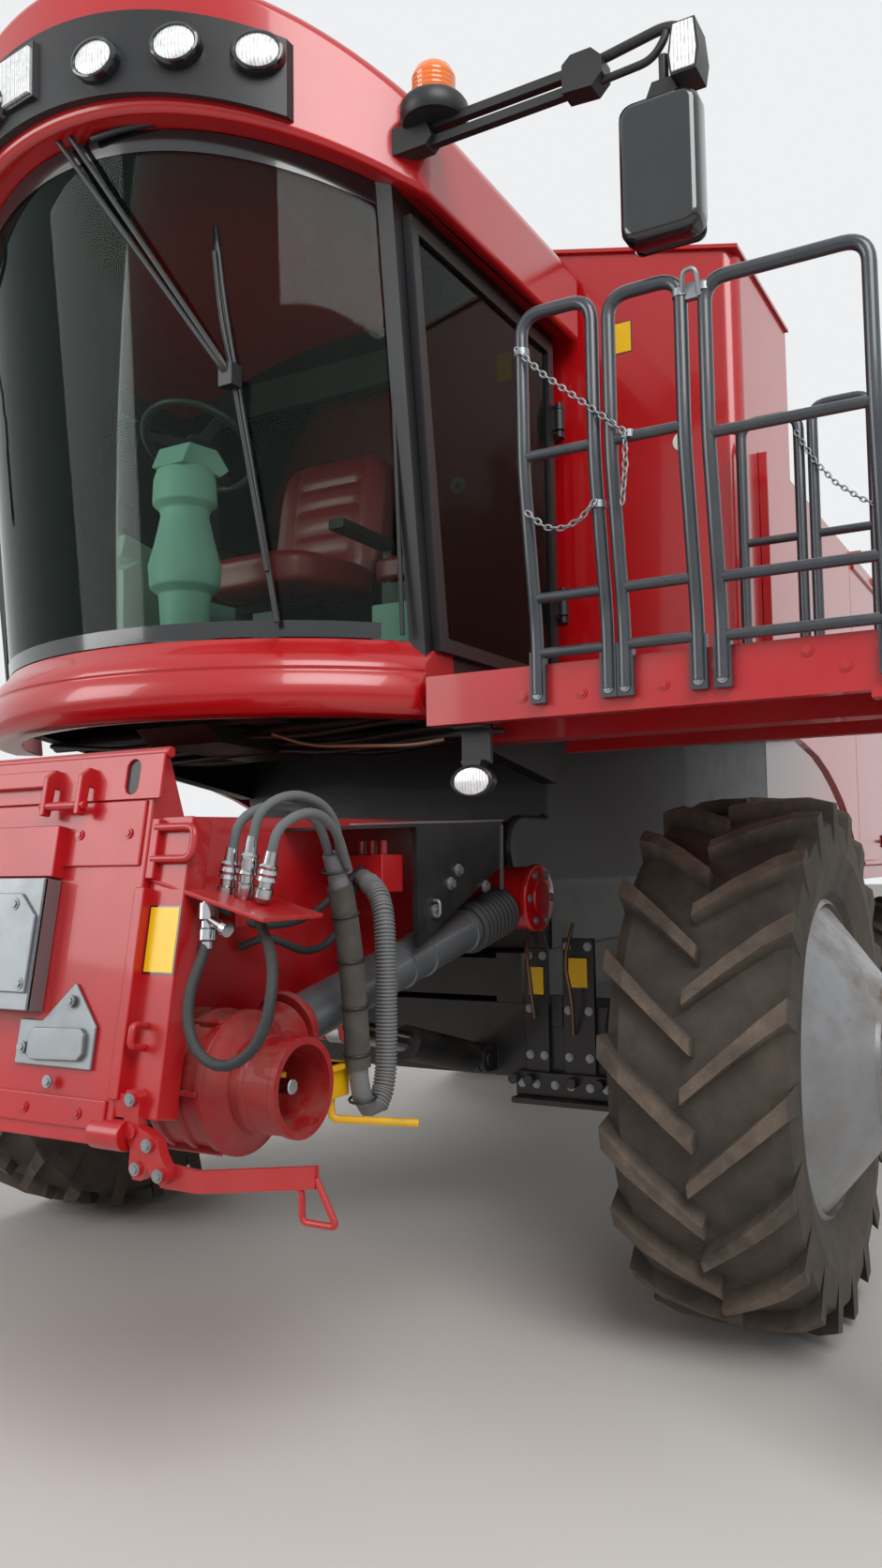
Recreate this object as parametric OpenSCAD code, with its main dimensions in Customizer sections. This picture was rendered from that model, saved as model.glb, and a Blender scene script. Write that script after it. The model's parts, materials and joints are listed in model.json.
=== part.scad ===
// Combine harvester, standing on its four wheels with no header fitted.
// +X is the machine's left side, -Y its front, Z = 0 the ground.
// Lengths along the machine are given from the front axle, which stands at axle_y.

/* [Frame] */
// Place of the front axle along the machine, so that the whole box is centred
axle_y = -1883; // [-2100:1:-1800]
// Distance from the front axle to the rear axle
wheelbase = 3650; // [3500:10:3800]

/* [Front wheels] */
// Radius of the front tyre over its lugs
front_r = 840; // [825:1:850]
// Width of the front tyre
front_w = 530; // [500:5:560]
// Distance from the centre line to the middle of the front tyre
front_x = 1465; // [1450:5:1500]
// Radius of the front rim where the tyre sits
front_rim_r = 500; // [480:1:515]
// Height of the front lugs over the tread
front_lug = 52; // [35:1:60]

/* [Rear wheels] */
// Radius of the rear tyre over its lugs
rear_r = 620; // [600:1:640]
// Width of the rear tyre
rear_w = 420; // [380:5:460]
// Distance from the centre line to the middle of the rear tyre
rear_x = 1420; // [1405:5:1480]
// Radius of the rear rim where the tyre sits
rear_rim_r = 335; // [320:1:345]
// Height of the rear lugs over the tread
rear_lug = 36; // [25:1:42]

/* [Frame rails] */
// Distance from the centre line to the middle of a frame rail
rail_x = 600; // [580:5:620]
// Height of the frame rails' underside
rail_z = 975; // [960:5:990]
// Height of a frame rail's section
rail_h = 175; // [150:5:200]
// Width of a frame rail's section
rail_w = 100; // [80:5:120]

/* [Threshing body] */
// Half the width of the threshing body
thresher_x = 700; // [680:5:720]
// Front face of the threshing body, behind the front axle
thresher_y = 20; // [10:5:40]
// Height of the threshing body's flat top
deck_z = 2350; // [2300:10:2400]
// Rear end of the straw hood
hood_end_y = 5850; // [5700:10:5900]

/* [Body panels] */
// Outer face of the side panels from the centre line
side_x = 1530; // [1500:5:1550]
// Thickness of the body's sheet panels
panel_t = 30; // [20:1:40]
// Lower edge of the side panels
side_z = 1375; // [1350:5:1420]
// Upper edge of the side panels
side_top = 2870; // [2830:10:2900]

/* [Grain tank] */
// Half the width of the grain tank
tank_x = 1500; // [1460:5:1520]
// Front face of the grain tank
tank_y = -150; // [-160:5:-120]
// Length of the grain tank
tank_len = 2650; // [2500:10:2800]
// Height of the tank's eaves, where its covers are hinged
eaves_z = 3500; // [3450:10:3550]
// Rise of the covers from the eaves to the ridge
ridge_h = 370; // [300:10:400]
// Thickness of the tank's walls
tank_t = 30; // [20:1:40]
// Rear end of the tank's wide front part
tank_step_y = 550; // [500:10:600]
// Half the width of the tank behind its wide front part
bin_x = 1040; // [1000:10:1080]

/* [Cab] */
// Half the width of the cab
cab_x = 850; // [830:5:865]
// Radius of the windscreen's foot, seen from above
screen_r = 1000; // [980:5:1010]
// Centre of the windscreen's curve, in front of the axle
screen_y = -520; // [-540:5:-500]
// Height of the windscreen's foot
screen_z = 2100; // [2090:5:2110]
// Growth of the windscreen's radius up to the roof
screen_flare = 110; // [90:5:130]
// Thickness of the cab's glass
glass_t = 8; // [5:1:10]
// Rear wall of the cab
cab_rear_y = -190; // [-200:5:-185]
// Height of the cab floor
floor_z = 2050; // [2040:5:2060]
// Height of the roof's crown
roof_z = 3950; // [3900:10:3980]
// Half the width of the roof
roof_x = 950; // [930:5:960]
// Radius of the roof's brow, seen from above
brow_r = 1200; // [1180:5:1220]

/* [Feeder] */
// Half the width of the feeder channel
feeder_x = 640; // [620:5:650]
// Pivot of the feeder in front of the axle
pivot_y = -190; // [-200:5:-180]
// Height of the feeder's pivot
pivot_z = 1520; // [1510:5:1530]
// Radius of the feeder's pivot shaft
pivot_r = 45; // [40:1:50]
// Half the width of the feeder's front plate
plate_x = 680; // [660:5:690]
// Front face of the plate at its upper lip
plate_top_y = -1965; // [-1980:5:-1950]
// Upper lip of the plate
plate_top_z = 1735; // [1720:5:1750]
// Front face of the plate at its lower edge
plate_low_y = -2115; // [-2130:5:-2100]
// Lower edge of the plate
plate_low_z = 900; // [880:5:920]

/* [Platform] */
// Outer end of the platform
platform_x = 2100; // [2080:5:2120]
// Front face of the platform's beam
platform_y = -1190; // [-1200:5:-1180]
// Floor height of the platform
platform_z = 1980; // [1970:5:1990]
// Depth of the platform's front beam
beam_h = 135; // [120:5:150]
// Radius of the guard rail's tube
tube_r = 17; // [15:1:20]
// Height of the guard rail's top bar
rail_top = 2870; // [2840:10:2900]

/* [Unloading auger] */
// Radius of the unloading tube
auger_r = 165; // [150:5:180]
// Length of the unloading tube from its turret
auger_len = 4300; // [4200:10:4400]

/* [Hidden] */

$fn = 48;
eps = 0.3;
front_z = front_r;
rear_z = rear_r;
rail_top_z = rail_z + rail_h;
// Spindle radius and running clearance of the wheels
spindle_r = 80;
run_gap = 0.05;
// Cylinder that cuts the cab's ceiling: its axis runs along the machine
ceiling_r = 1990;
ceiling_z = 3530;

function unit(v) = v / norm(v);

// A straight round bar between two points
module bar(a, b, r) {
    d = b - a;
    len = norm(d);
    translate(a)
        rotate([0, acos(d[2] / len), atan2(d[1], d[0])])
            cylinder(r = r, h = len);
}

// A quarter-like bend at p1 between the runs from p0 and to p2
module bend(p0, p1, p2, r, br) {
    u = unit(p1 - p0);
    v = unit(p2 - p1);
    turn = acos(u * v);
    n = unit(v - (u * v) * u);
    c = p1 - u * br * tan(turn / 2) + n * br;
    z = cross(-n, u);
    multmatrix([[-n[0], u[0], z[0], c[0]], [-n[1], u[1], z[1], c[1]], [-n[2], u[2], z[2], c[2]], [0, 0, 0, 1]])
        rotate_extrude(angle = turn)
            translate([br, 0])
                circle(r);
}

function turn_at(p0, p1, p2) = acos(unit(p1 - p0) * unit(p2 - p1));
function trim_at(pts, i, br) =
    (i == 0 || i == len(pts) - 1) ? 0 : br * tan(turn_at(pts[i - 1], pts[i], pts[i + 1]) / 2);

// A tube bent along points, with the same bend radius at each corner
module bent_tube(pts, r, br) {
    for (i = [0 : len(pts) - 2]) {
        u = unit(pts[i + 1] - pts[i]);
        bar(pts[i] + u * trim_at(pts, i, br), pts[i + 1] - u * trim_at(pts, i + 1, br), r);
    }
    for (i = [1 : len(pts) - 2])
        bend(pts[i - 1], pts[i], pts[i + 1], r, br);
}

// The machine's own coordinates start at the front axle
module at_axle() {
    translate([0, axle_y, 0])
        children();
}

// A profile in the side view (y, z), extruded across from x0 to x1
module side_profile(x0, x1) {
    translate([x0, 0, 0])
        rotate([90, 0, 90])
            linear_extrude(x1 - x0)
                children();
}

// A box from its two corners
module block(a, b) {
    translate(a)
        cube(b - a);
}

// The same piece on both sides
module both_sides() {
    for (side = [0, 1])
        mirror([side, 0, 0])
            children();
}

// Hinge pieces along the machine: the pin's place is the origin, a lug profile is held on both its sides
hinge_half = 60;
lug_w = 20;
module lug_pair() {
    for (y = [-hinge_half, hinge_half - lug_w])
        translate([0, y + lug_w, 0])
            rotate([90, 0, 0])
                linear_extrude(lug_w)
                    children();
}

module hinge_pin(r) {
    translate([0, -hinge_half, 0])
        rotate([-90, 0, 0])
            cylinder(r = r, h = 2 * hinge_half);
}

module knuckle_sleeve(r, bore) {
    len = 2 * (hinge_half - lug_w - 5);
    translate([0, len / 2, 0])
        rotate([90, 0, 0])
            linear_extrude(len)
                difference() {
                    union() {
                        circle(r = r);
                        children();
                    }
                    circle(r = bore + run_gap);
                }
}

// Tyres: a revolved carcass with lugs fused to it, axis along X, middle at the origin
module carcass(r, rim_r, w, lug) {
    tread = r - lug;
    rotate([0, 90, 0])
        rotate_extrude($fn = 96)
            polygon([
                [rim_r, -0.40 * w],
                [rim_r + 25, -0.44 * w],
                [(rim_r + tread) / 2, -0.5 * w],
                [tread - 45, -0.48 * w],
                [tread - 12, -0.40 * w],
                [tread, 0],
                [tread - 12, 0.40 * w],
                [tread - 45, 0.48 * w],
                [(rim_r + tread) / 2, 0.5 * w],
                [rim_r + 25, 0.44 * w],
                [rim_r, 0.40 * w]]);
}

// One lug: stations with columns [share of half width, sweep angle, half thickness, top drop, foot drop]
LUG = [[-0.05, 0, 21, 0, 70], [0.35, 6.5, 24, 3, 75], [0.72, 12.5, 28, 9, 85], [0.99, 17, 32, 30, 175]];

function lug_point(s, side, top, r, w, lug) =
    let (rr = top ? r - s[3] : r - lug - s[4] + 45,
        a = side * atan((top ? s[2] : s[2] * 1.35) / rr) - s[1])
    [s[0] * w / 2, -rr * sin(a), rr * cos(a)];

module lug(r, w, lug) {
    n = len(LUG);
    pts = [for (s = LUG) for (c = [[-1, false], [1, false], [1, true], [-1, true]])
        lug_point(s, c[0], c[1], r, w, lug)];
    sides = [for (i = [0 : n - 2]) for (k = [0 : 3])
        [4 * i + k, 4 * i + (k + 1) % 4, 4 * i + 4 + (k + 1) % 4, 4 * i + 4 + k]];
    polyhedron(pts, concat([[3, 2, 1, 0]], sides, [[4 * n - 4, 4 * n - 3, 4 * n - 2, 4 * n - 1]]));
}

// Each pair of lugs points down from the front
module tyre(r, rim_r, w, lug, count) {
    carcass(r, rim_r, w, lug);
    for (i = [0 : count - 1]) {
        rotate([i * 360 / count, 0, 0])
            lug(r, w, lug);
        rotate([(i + 0.5) * 360 / count, 0, 0])
            mirror([1, 0, 0])
                lug(r, w, lug);
    }
}

module tyre_front() {
    color("#3a3632")
        tyre(front_r, front_rim_r + eps, front_w, front_lug, 20);
}

module tyre_rear() {
    color("#3a3632")
        tyre(rear_r, rear_rim_r + eps, rear_w, rear_lug, 18);
}

module tyre_front_left() at_axle() translate([front_x, 0, front_z]) tyre_front();
module tyre_front_right() at_axle() translate([-front_x, 0, front_z]) tyre_front();
module tyre_rear_left() at_axle() translate([rear_x, wheelbase, rear_z]) tyre_rear();
module tyre_rear_right() at_axle() translate([-rear_x, wheelbase, rear_z]) tyre_rear();

// A rim with barrel, flanges, dished disc and hub; its spindle bore is blind
module wheel_rim(rim_r, w, ring_r, ring_x, hub_r, bore_x0, bore_x1) {
    barrel = rim_r - 14;
    difference() {
        rotate([0, 90, 0])
            union() {
                rotate_extrude($fn = 96)
                    polygon([
                        [barrel, -0.42 * w],
                        [rim_r, -0.40 * w],
                        [rim_r, 0.40 * w],
                        [barrel, 0.42 * w]]);
                rotate_extrude($fn = 96)
                    polygon([
                        [hub_r - 20, ring_x - 30],
                        [ring_r, ring_x - 30],
                        [barrel + 4, 0.30 * w],
                        [barrel + 4, 0.37 * w],
                        [ring_r + 8, ring_x - 14],
                        [ring_r + 2, ring_x],
                        [hub_r - 20, ring_x]]);
                translate([0, 0, bore_x0])
                    cylinder(r = hub_r, h = ring_x - bore_x0 + 25, $fn = 64);
            }
        rotate([0, 90, 0])
            translate([0, 0, bore_x0 - 1])
                cylinder(r = spindle_r + run_gap, h = bore_x1 - bore_x0 + 1);
    }
}

// Where the wheels' hubs start and their spindles end, from the middle of the tyre
front_hub_x0 = -260;
front_hub_x1 = 60;
rear_hub_x0 = -120;
rear_hub_x1 = 90;

module rim_front() {
    color("#b4b6b8")
        wheel_rim(front_rim_r, front_w, 238, 405, 165, front_hub_x0, front_hub_x1);
}

module rim_rear() {
    color("#b4b6b8")
        wheel_rim(rear_rim_r, rear_w, 175, 130, 135, rear_hub_x0, rear_hub_x1);
}

module rim_front_left() at_axle() translate([front_x, 0, front_z]) rim_front();
module rim_front_right() at_axle() translate([-front_x, 0, front_z]) mirror([1, 0, 0]) rim_front();
module rim_rear_left() at_axle() translate([rear_x, wheelbase, rear_z]) rim_rear();
module rim_rear_right() at_axle() translate([-rear_x, wheelbase, rear_z]) mirror([1, 0, 0]) rim_rear();

// Frame rails with cross members, front uprights and the rear axle's bracket
frame_y0 = -130;
frame_y1 = wheelbase + 650;
rear_beam_h = 180;
rear_beam_d = 180;
hitch_y = wheelbase + 210;
hitch_z = 640;
hitch_r = 16;
module frame_rails() at_axle() color("#1d1e20") {
    both_sides()
        block([rail_x - rail_w / 2, frame_y0, rail_z], [rail_x + rail_w / 2, frame_y1, rail_top_z]);
    for (y = [frame_y0, 1500, 2700, frame_y1 - 120])
        block([-rail_x + rail_w / 2, y, rail_z + 20], [rail_x - rail_w / 2, y + 120, rail_top_z - 20]);
    // Bracket that holds the rear axle's pivot pin
    for (y = [wheelbase - rear_beam_d / 2 - 45, wheelbase + rear_beam_d / 2 + 5])
        block([-rail_x + rail_w / 2, y, rear_z - 70], [rail_x - rail_w / 2, y + 40, rail_top_z - 20]);
    translate([0, wheelbase - 150, rear_z])
        rotate([-90, 0, 0])
            cylinder(r = 40, h = 300);
    // Tow tongue behind the bracket, with its pin hole
    translate([0, 0, hitch_z])
        linear_extrude(30)
            difference() {
                union() {
                    translate([-60, wheelbase + 130])
                        square([120, hitch_y - wheelbase - 130]);
                    translate([0, hitch_y])
                        circle(r = 60);
                }
                translate([0, hitch_y])
                    circle(r = hitch_r);
            }
}

// Front axle beam with its final drives and spindles
axle_h = 260;
module front_axle() at_axle() color("#232427") {
    block([-1010, -130, rail_z - axle_h], [1010, 130, rail_z]);
    both_sides() {
        translate([1000, 0, front_z])
            rotate([0, 90, 0])
                cylinder(r = 240, h = 170, $fn = 64);
        translate([1169, 0, front_z])
            rotate([0, 90, 0])
                cylinder(r = spindle_r, h = front_x + front_hub_x1 - 5 - 1169);
        for (side = [-1, 1])
            side_profile(lift_x + side * (lift_eye_w / 2 + 14) - 10, lift_x + side * (lift_eye_w / 2 + 14) + 10) {
                translate([lift_base[0], lift_base[1]])
                    circle(r = lift_eye_r);
                translate([lift_base[0], lift_base[1] - lift_eye_r])
                    square([-129 - lift_base[0], 2 * lift_eye_r]);
            }
        translate([lift_x - 55, lift_base[0], lift_base[1]])
            rotate([0, 90, 0])
                cylinder(r = lift_pin_r, h = 110);
    }
}

// Rear axle beam with a boss for each kingpin
pin_x = 1060;
pin_r = 40;
boss_r = 80;
module rear_axle() at_axle() color("#232427") {
    difference() {
        union() {
            block([-pin_x, wheelbase - rear_beam_d / 2, rear_z - rear_beam_h / 2],
                [pin_x, wheelbase + rear_beam_d / 2, rear_z + rear_beam_h / 2]);
            both_sides()
                translate([pin_x, wheelbase, rear_z - rear_beam_h / 2])
                    cylinder(r = rear_beam_d / 2, h = rear_beam_h);
        }
        both_sides()
            translate([pin_x, wheelbase, 0])
                cylinder(r = pin_r + run_gap, h = 2000);
        translate([0, wheelbase, rear_z])
            rotate([90, 0, 0])
                cylinder(r = 40 + run_gap, h = 1000, center = true);
    }
}

// Steering knuckle: two lugs on a kingpin, a web, the spindle and the steering arm
lug_gap = 5;
lug_t = 35;
arm_y = 210;
module knuckle() color("#2b2c2f") {
    z0 = rear_z - rear_beam_h / 2 - lug_gap - lug_t;
    z1 = rear_z + rear_beam_h / 2 + lug_gap;
    for (z = [z0, z1]) {
        translate([pin_x, wheelbase, z])
            cylinder(r = boss_r, h = lug_t);
        block([pin_x, wheelbase - 70, z], [pin_x + 160, wheelbase + 70, z + lug_t]);
    }
    translate([pin_x, wheelbase, z0])
        cylinder(r = pin_r, h = z1 + lug_t - z0);
    block([pin_x + 120, wheelbase - 70, z0], [pin_x + 160, wheelbase + 70, z1 + lug_t]);
    translate([pin_x + 159, wheelbase, rear_z])
        rotate([0, 90, 0])
            cylinder(r = spindle_r, h = rear_x + rear_hub_x1 - 5 - pin_x - 159);
    block([pin_x - 40, wheelbase, z1], [pin_x + 40, wheelbase + arm_y, z1 + lug_t]);
}

module knuckle_left() at_axle() knuckle();
module knuckle_right() at_axle() mirror([1, 0, 0]) knuckle();

// Track rod above the two steering arms
module tie_rod() at_axle() color("#55575a") {
    z = rear_z + rear_beam_h / 2 + lug_gap + lug_t + 0.5;
    y = wheelbase + arm_y - 45;
    translate([-pin_x, y, z + 25])
        rotate([0, 90, 0])
            cylinder(r = 24, h = 2 * pin_x);
    both_sides()
        translate([pin_x, y, z])
            cylinder(r = 38, h = 50);
}

// Threshing body: one closed housing on the rails, seen from the front, below and the sides
hood_y = 3300;
module thresher_body() at_axle() color("#8e1512") {
    side_profile(-thresher_x, thresher_x)
        polygon([
            [thresher_y, rail_top_z],
            [hood_y, rail_top_z],
            [hood_y, deck_z],
            [thresher_y, deck_z],
            [thresher_y, pivot_z + 160]]);
    // Cleaning shoe between the rails
    side_profile(-rail_x + rail_w / 2 + 5, rail_x - rail_w / 2 - 5)
        polygon([
            [300, rail_top_z + 1],
            [300, 700],
            [900, 560],
            [1380, 700],
            [1380, rail_top_z + 1]]);
    // Ears that carry the feeder's pivot shaft
    both_sides()
        side_profile(660, thresher_x)
            difference() {
                union() {
                    translate([pivot_y, pivot_z])
                        circle(r = 120);
                    translate([pivot_y, pivot_z - 120])
                        square([thresher_y - pivot_y + 1, 240]);
                }
                translate([pivot_y, pivot_z])
                    circle(r = pivot_r - 1);
            }
    translate([-thresher_x, pivot_y, pivot_z])
        rotate([0, 90, 0])
            cylinder(r = pivot_r, h = 2 * thresher_x);
}

// Straw hood behind the threshing body, open below
module straw_hood() at_axle() color("#b01a16") {
    difference() {
        side_profile(-thresher_x, thresher_x)
            polygon([
                [hood_y, rail_top_z + 350],
                [hood_end_y - 450, rail_top_z + 350],
                [hood_end_y, rail_top_z + 550],
                [hood_end_y, deck_z - 250],
                [hood_end_y - 350, deck_z],
                [hood_y, deck_z]]);
        side_profile(-thresher_x + panel_t, thresher_x - panel_t)
            polygon([
                [hood_y + panel_t, rail_top_z + 300],
                [hood_end_y - 500, rail_top_z + 300],
                [hood_end_y + 100, rail_top_z + 300],
                [hood_end_y + 100, deck_z - 358],
                [hood_end_y - 360, deck_z - panel_t],
                [hood_y + panel_t, deck_z - panel_t]]);
    }
    cross_hinges(HATCH_HINGES, hatch_pin) {
        hinge_pin(hatch_pin_r);
        lug_pair()
            polygon([[-64, 12], [-34, -8], [8, -11], [13, 0], [8, 11], [-54, 30]]);
    }
}

HATCH_HINGES = [-450, 450];
hatch_pin = [hood_end_y + 16, deck_z - 238];
hatch_pin_r = 6;

flap_y = 5432;
flap_z = 1290;
flap_pin_r = 14;
module chopper() at_axle() color("#1f2022") {
    side_profile(-thresher_x, thresher_x)
        polygon([
            [4700, 1000],
            [5050, 880],
            [5350, 980],
            [5400, rail_top_z + 349.7],
            [4700, rail_top_z + 349.7]]);
    // Ears and the pin that the spreader flap hangs on
    both_sides()
        side_profile(682, thresher_x) {
            translate([flap_y, flap_z])
                circle(r = 28);
            polygon([
                [5360, 1200],
                [5370, 1340],
                [flap_y, flap_z + 28],
                [flap_y, flap_z - 28]]);
        }
    translate([-thresher_x + 1, flap_y, flap_z])
        rotate([0, 90, 0])
            cylinder(r = flap_pin_r, h = 2 * thresher_x - 2);
}

module chopper_flap() at_axle() color("#2a2b2d") {
    side_profile(-675, 675)
        difference() {
            union() {
                translate([flap_y, flap_z])
                    circle(r = 26);
                polygon([
                    [flap_y - 6, flap_z + 20],
                    [flap_y + 26, flap_z + 14],
                    [5850, 1020],
                    [5830, 990],
                    [flap_y - 6, flap_z - 20]]);
            }
            translate([flap_y, flap_z])
                circle(r = flap_pin_r + run_gap);
        }
}

module rear_hatch() at_axle() color("#c41d18") {
    side_profile(-thresher_x, thresher_x)
        polygon([
            [hood_end_y + eps, rail_top_z + 560],
            [hood_end_y + 31, rail_top_z + 560],
            [hood_end_y + 31, deck_z - 255],
            [hood_end_y + eps, deck_z - 255]]);
    cross_hinges(HATCH_HINGES, hatch_pin)
        knuckle_sleeve(12, hatch_pin_r)
            translate([-6, -20])
                square([18, 12]);
}

// Fixed panels behind the front wheels; the arch's edge falls to the rear, columns [y, z]
ARCH = [
    [210, 1920],
    [480, 1900],
    [740, 1865],
    [920, 1820],
    [1080, 1765],
    [1220, 1705],
    [1330, 1640],
    [1415, 1560],
    [1470, 1465],
    [1490, 1370]];
door_y0 = 1560;
door_y1 = 4250;
module arch_panel() {
    side_profile(side_x - panel_t, side_x)
        difference() {
            translate([60, side_z])
                square([door_y0 - 5 - 60, side_top - side_z]);
            polygon(concat([[-100, 1370], [-100, 1925], [60, 1925]], ARCH));
        }
    // Stays from the threshing body to the panel
    for (z = [2000, 2250])
        block([thresher_x, 700, z], [side_x - panel_t, 760, z + 60]);
}

module wheel_arch_panels() at_axle() color("#c41d18") {
    arch_panel();
    difference() {
        mirror([1, 0, 0])
            arch_panel();
        block([turret_x, turret_y - 105, 1995], [-thresher_x - 200, turret_y + 105, 2205]);
    }
}

// Hinge line of the side doors and its places on the tank and on the engine deck
door_pin_x = side_x + 20;
door_pin_z = side_top + 2;
door_pin_r = 8;
TANK_HINGES = [1750, 2350];
DECK_HINGES = [3200, 4050];
module door_hinges(places) both_sides()
    for (y = places)
        translate([door_pin_x, y, door_pin_z]) {
            hinge_pin(door_pin_r);
            lug_pair()
                polygon([[-70, 5], [-8, 5], [-8, -8], [12, -8], [12, 23], [-70, 23]]);
        }

module side_door() color("#c41d18") {
    side_profile(side_x - panel_t, side_x)
        translate([door_y0, side_z])
            square([door_y1 - door_y0, side_top - side_z]);
    for (y = concat(TANK_HINGES, DECK_HINGES))
        translate([door_pin_x, y, door_pin_z])
            knuckle_sleeve(16, door_pin_r)
                translate([-21, -16])
                    square([21, 13]);
}

module side_door_left() at_axle() side_door();
module side_door_right() at_axle() mirror([1, 0, 0]) side_door();

// Grain tank: wide behind the cab, narrower to the rear, under a gable
tank_y1 = tank_y + tank_len;
corner_r = 55;
sump_x = 1440;
module tank_outline(inset) {
    r = corner_r - min(inset, corner_r - 1);
    x = tank_x - inset - r;
    for (side = [-1, 1])
        translate([side * x, tank_y + inset + r])
            circle(r = r);
    translate([-x, tank_y + inset])
        square([2 * x, tank_step_y - tank_y - 2 * inset]);
    translate([-tank_x + inset, tank_y + inset + r])
        square([2 * (tank_x - inset), tank_step_y - tank_y - 2 * inset - r]);
    translate([-bin_x + inset, tank_step_y - inset - 1])
        square([2 * (bin_x - inset), tank_y1 - tank_step_y + 1]);
}

function slope_z(x) = eaves_z + ridge_h * (1 - abs(x) / tank_x);

// A slab that follows the gable's slopes, from x0 to x1 and z0 to z1 above them
module gable(x0, x1, z0, z1, y0, y1) {
    translate([0, y0, 0])
        rotate([-90, 0, 0])
            linear_extrude(y1 - y0)
                polygon([for (c = [[x0, z0], [max(x0, 0), z0], [x1, z0], [x1, z1], [max(x0, 0), z1], [x0, z1]])
                    [c[0], -slope_z(c[0]) - c[1]]]);
}

module grain_tank() at_axle() color("#c41d18") {
    intersection() {
        translate([0, 0, side_top + 5])
            linear_extrude(ridge_h + eaves_z - side_top)
                difference() {
                    tank_outline(0);
                    tank_outline(tank_t);
                }
        gable(-tank_x - 5, tank_x + 5, -1000, 0, tank_y - 10, tank_y1 + 10);
    }
    gable(-tank_x - 10, tank_x + 10, -1, cover_t, tank_y - 15, tank_step_y + 15);
    // Sump between the side panels, and the shelf that joins it to the walls
    difference() {
        union() {
            block([-sump_x, tank_y + 200, deck_z], [sump_x, tank_y1 - 60, side_top + 6]);
            block([-tank_x + 5, tank_y + 5, side_top + 5], [tank_x - 5, tank_y1 - 5, side_top + 5 + tank_t]);
        }
        block([-sump_x + tank_t, tank_y + 200 + tank_t, deck_z + tank_t],
            [sump_x - tank_t, tank_y1 - 60 - tank_t, side_top + 5]);
        translate([0, 0, side_top])
            linear_extrude(100)
                intersection() {
                    tank_outline(tank_t + 25);
                    translate([-sump_x, tank_y + 200 + tank_t])
                        square([2 * sump_x, tank_len - 260 - 2 * tank_t]);
                }
    }
    // Front corners of the body, down to the platform's height
    translate([0, 0, platform_z])
        linear_extrude(side_top + 6 - platform_z)
            intersection() {
                difference() {
                    tank_outline(0);
                    tank_outline(tank_t);
                }
                both_sides()
                    translate([cab_x - 34, tank_y - 10])
                        square([tank_x - cab_x + 100, 69.7 - tank_y]);
            }
    door_hinges(TANK_HINGES);
    // Pins and lugs of the covers
    both_sides()
        for (y = COVER_HINGES)
            translate([cover_pin_x, y, cover_pin_z]) {
                hinge_pin(cover_pin_r);
                lug_pair()
                    polygon([[-29, -40], [9, -16], [9, 8], [-8, 8], [-8, -14], [-29, -14]]);
            }
    // Pins and lugs of the engine hood on the rear wall
    cross_hinges(HOOD_HINGES, hood_pin) {
        hinge_pin(hood_pin_r);
        lug_pair()
            polygon([[-50, -12], [10, -12], [10, 12], [-50, 12]]);
    }
}

// Folding covers over the rear part of the tank, hinged at its eaves
cover_t = 12;
cover_pin_x = bin_x + 24;
cover_pin_z = slope_z(bin_x) + 6;
cover_pin_r = 7;
COVER_HINGES = [750, 1475, 2200];
module tank_cover() color("#b81b17") {
    gable(3, bin_x + 10, eps, cover_t, tank_step_y + 20.5, tank_y1 + 15);
    for (y = COVER_HINGES)
        translate([cover_pin_x, y, cover_pin_z])
            knuckle_sleeve(14, cover_pin_r)
                translate([-15, -8])
                    square([15, 11]);
}

module tank_cover_left() at_axle() tank_cover();
module tank_cover_right() at_axle() mirror([1, 0, 0]) tank_cover();

// Hinges that lie across the machine: their places along x, and the pin's place in the side view
module cross_hinges(places, pin)
    for (x = places)
        translate([x, pin[0], pin[1]])
            rotate([0, 0, 90])
                children();

HOOD_HINGES = [-700, 700];
hood_pin = [tank_y1 + 45, deck_z + 972];
hood_pin_r = 8;

// Engine deck behind the tank, the engine as one block, and its hood with grilles
hood_x = 1100;
engine_y0 = tank_y1 + 20;
engine_y1 = hood_end_y - 950;
module engine_deck() at_axle() color("#202124") {
    block([-side_x + panel_t + 5, engine_y0, deck_z], [side_x - panel_t - 5, engine_y1 + 60, deck_z + 60]);
    both_sides()
        block([side_x - panel_t - 35, engine_y0, deck_z + 59], [side_x - panel_t - 5, door_y1, side_top + 25]);
    door_hinges(DECK_HINGES);
}

module engine_block() at_axle() color("#4a4c4f")
    block([-450, engine_y0 + 350, deck_z + 60], [650, engine_y0 + 1250, deck_z + 760]);

module engine_hood() at_axle() color("#c41d18") {
    difference() {
        side_profile(-hood_x, hood_x)
            polygon([
                [engine_y0, deck_z + 60.3],
                [engine_y1, deck_z + 60.3],
                [engine_y1, deck_z + 620],
                [engine_y1 - 300, deck_z + 850],
                [engine_y0, deck_z + 950]]);
        side_profile(-hood_x + panel_t, hood_x - panel_t)
            polygon([
                [engine_y0 - 50, deck_z + 20],
                [engine_y1 - panel_t, deck_z + 20],
                [engine_y1 - panel_t, deck_z + 600],
                [engine_y1 - 310, deck_z + 815],
                [engine_y0 - 50, deck_z + 918]]);
    }
    cross_hinges(HOOD_HINGES, hood_pin)
        knuckle_sleeve(16, hood_pin_r)
            translate([-10, -28])
                square([20, 16]);
}

// Unloading auger on the right: a turret and a long tube folded back along the tank
turret_x = -1730;
turret_y = 400;
auger_z = 3250;
module unloading_turret() at_axle() color("#a81814") {
    translate([turret_x, turret_y, 1900])
        cylinder(r = auger_r + 10, h = auger_z - auger_r - 25 - eps - 1900);
    block([turret_x, turret_y - 100, 2000], [-thresher_x, turret_y + 100, 2200]);
}

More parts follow.
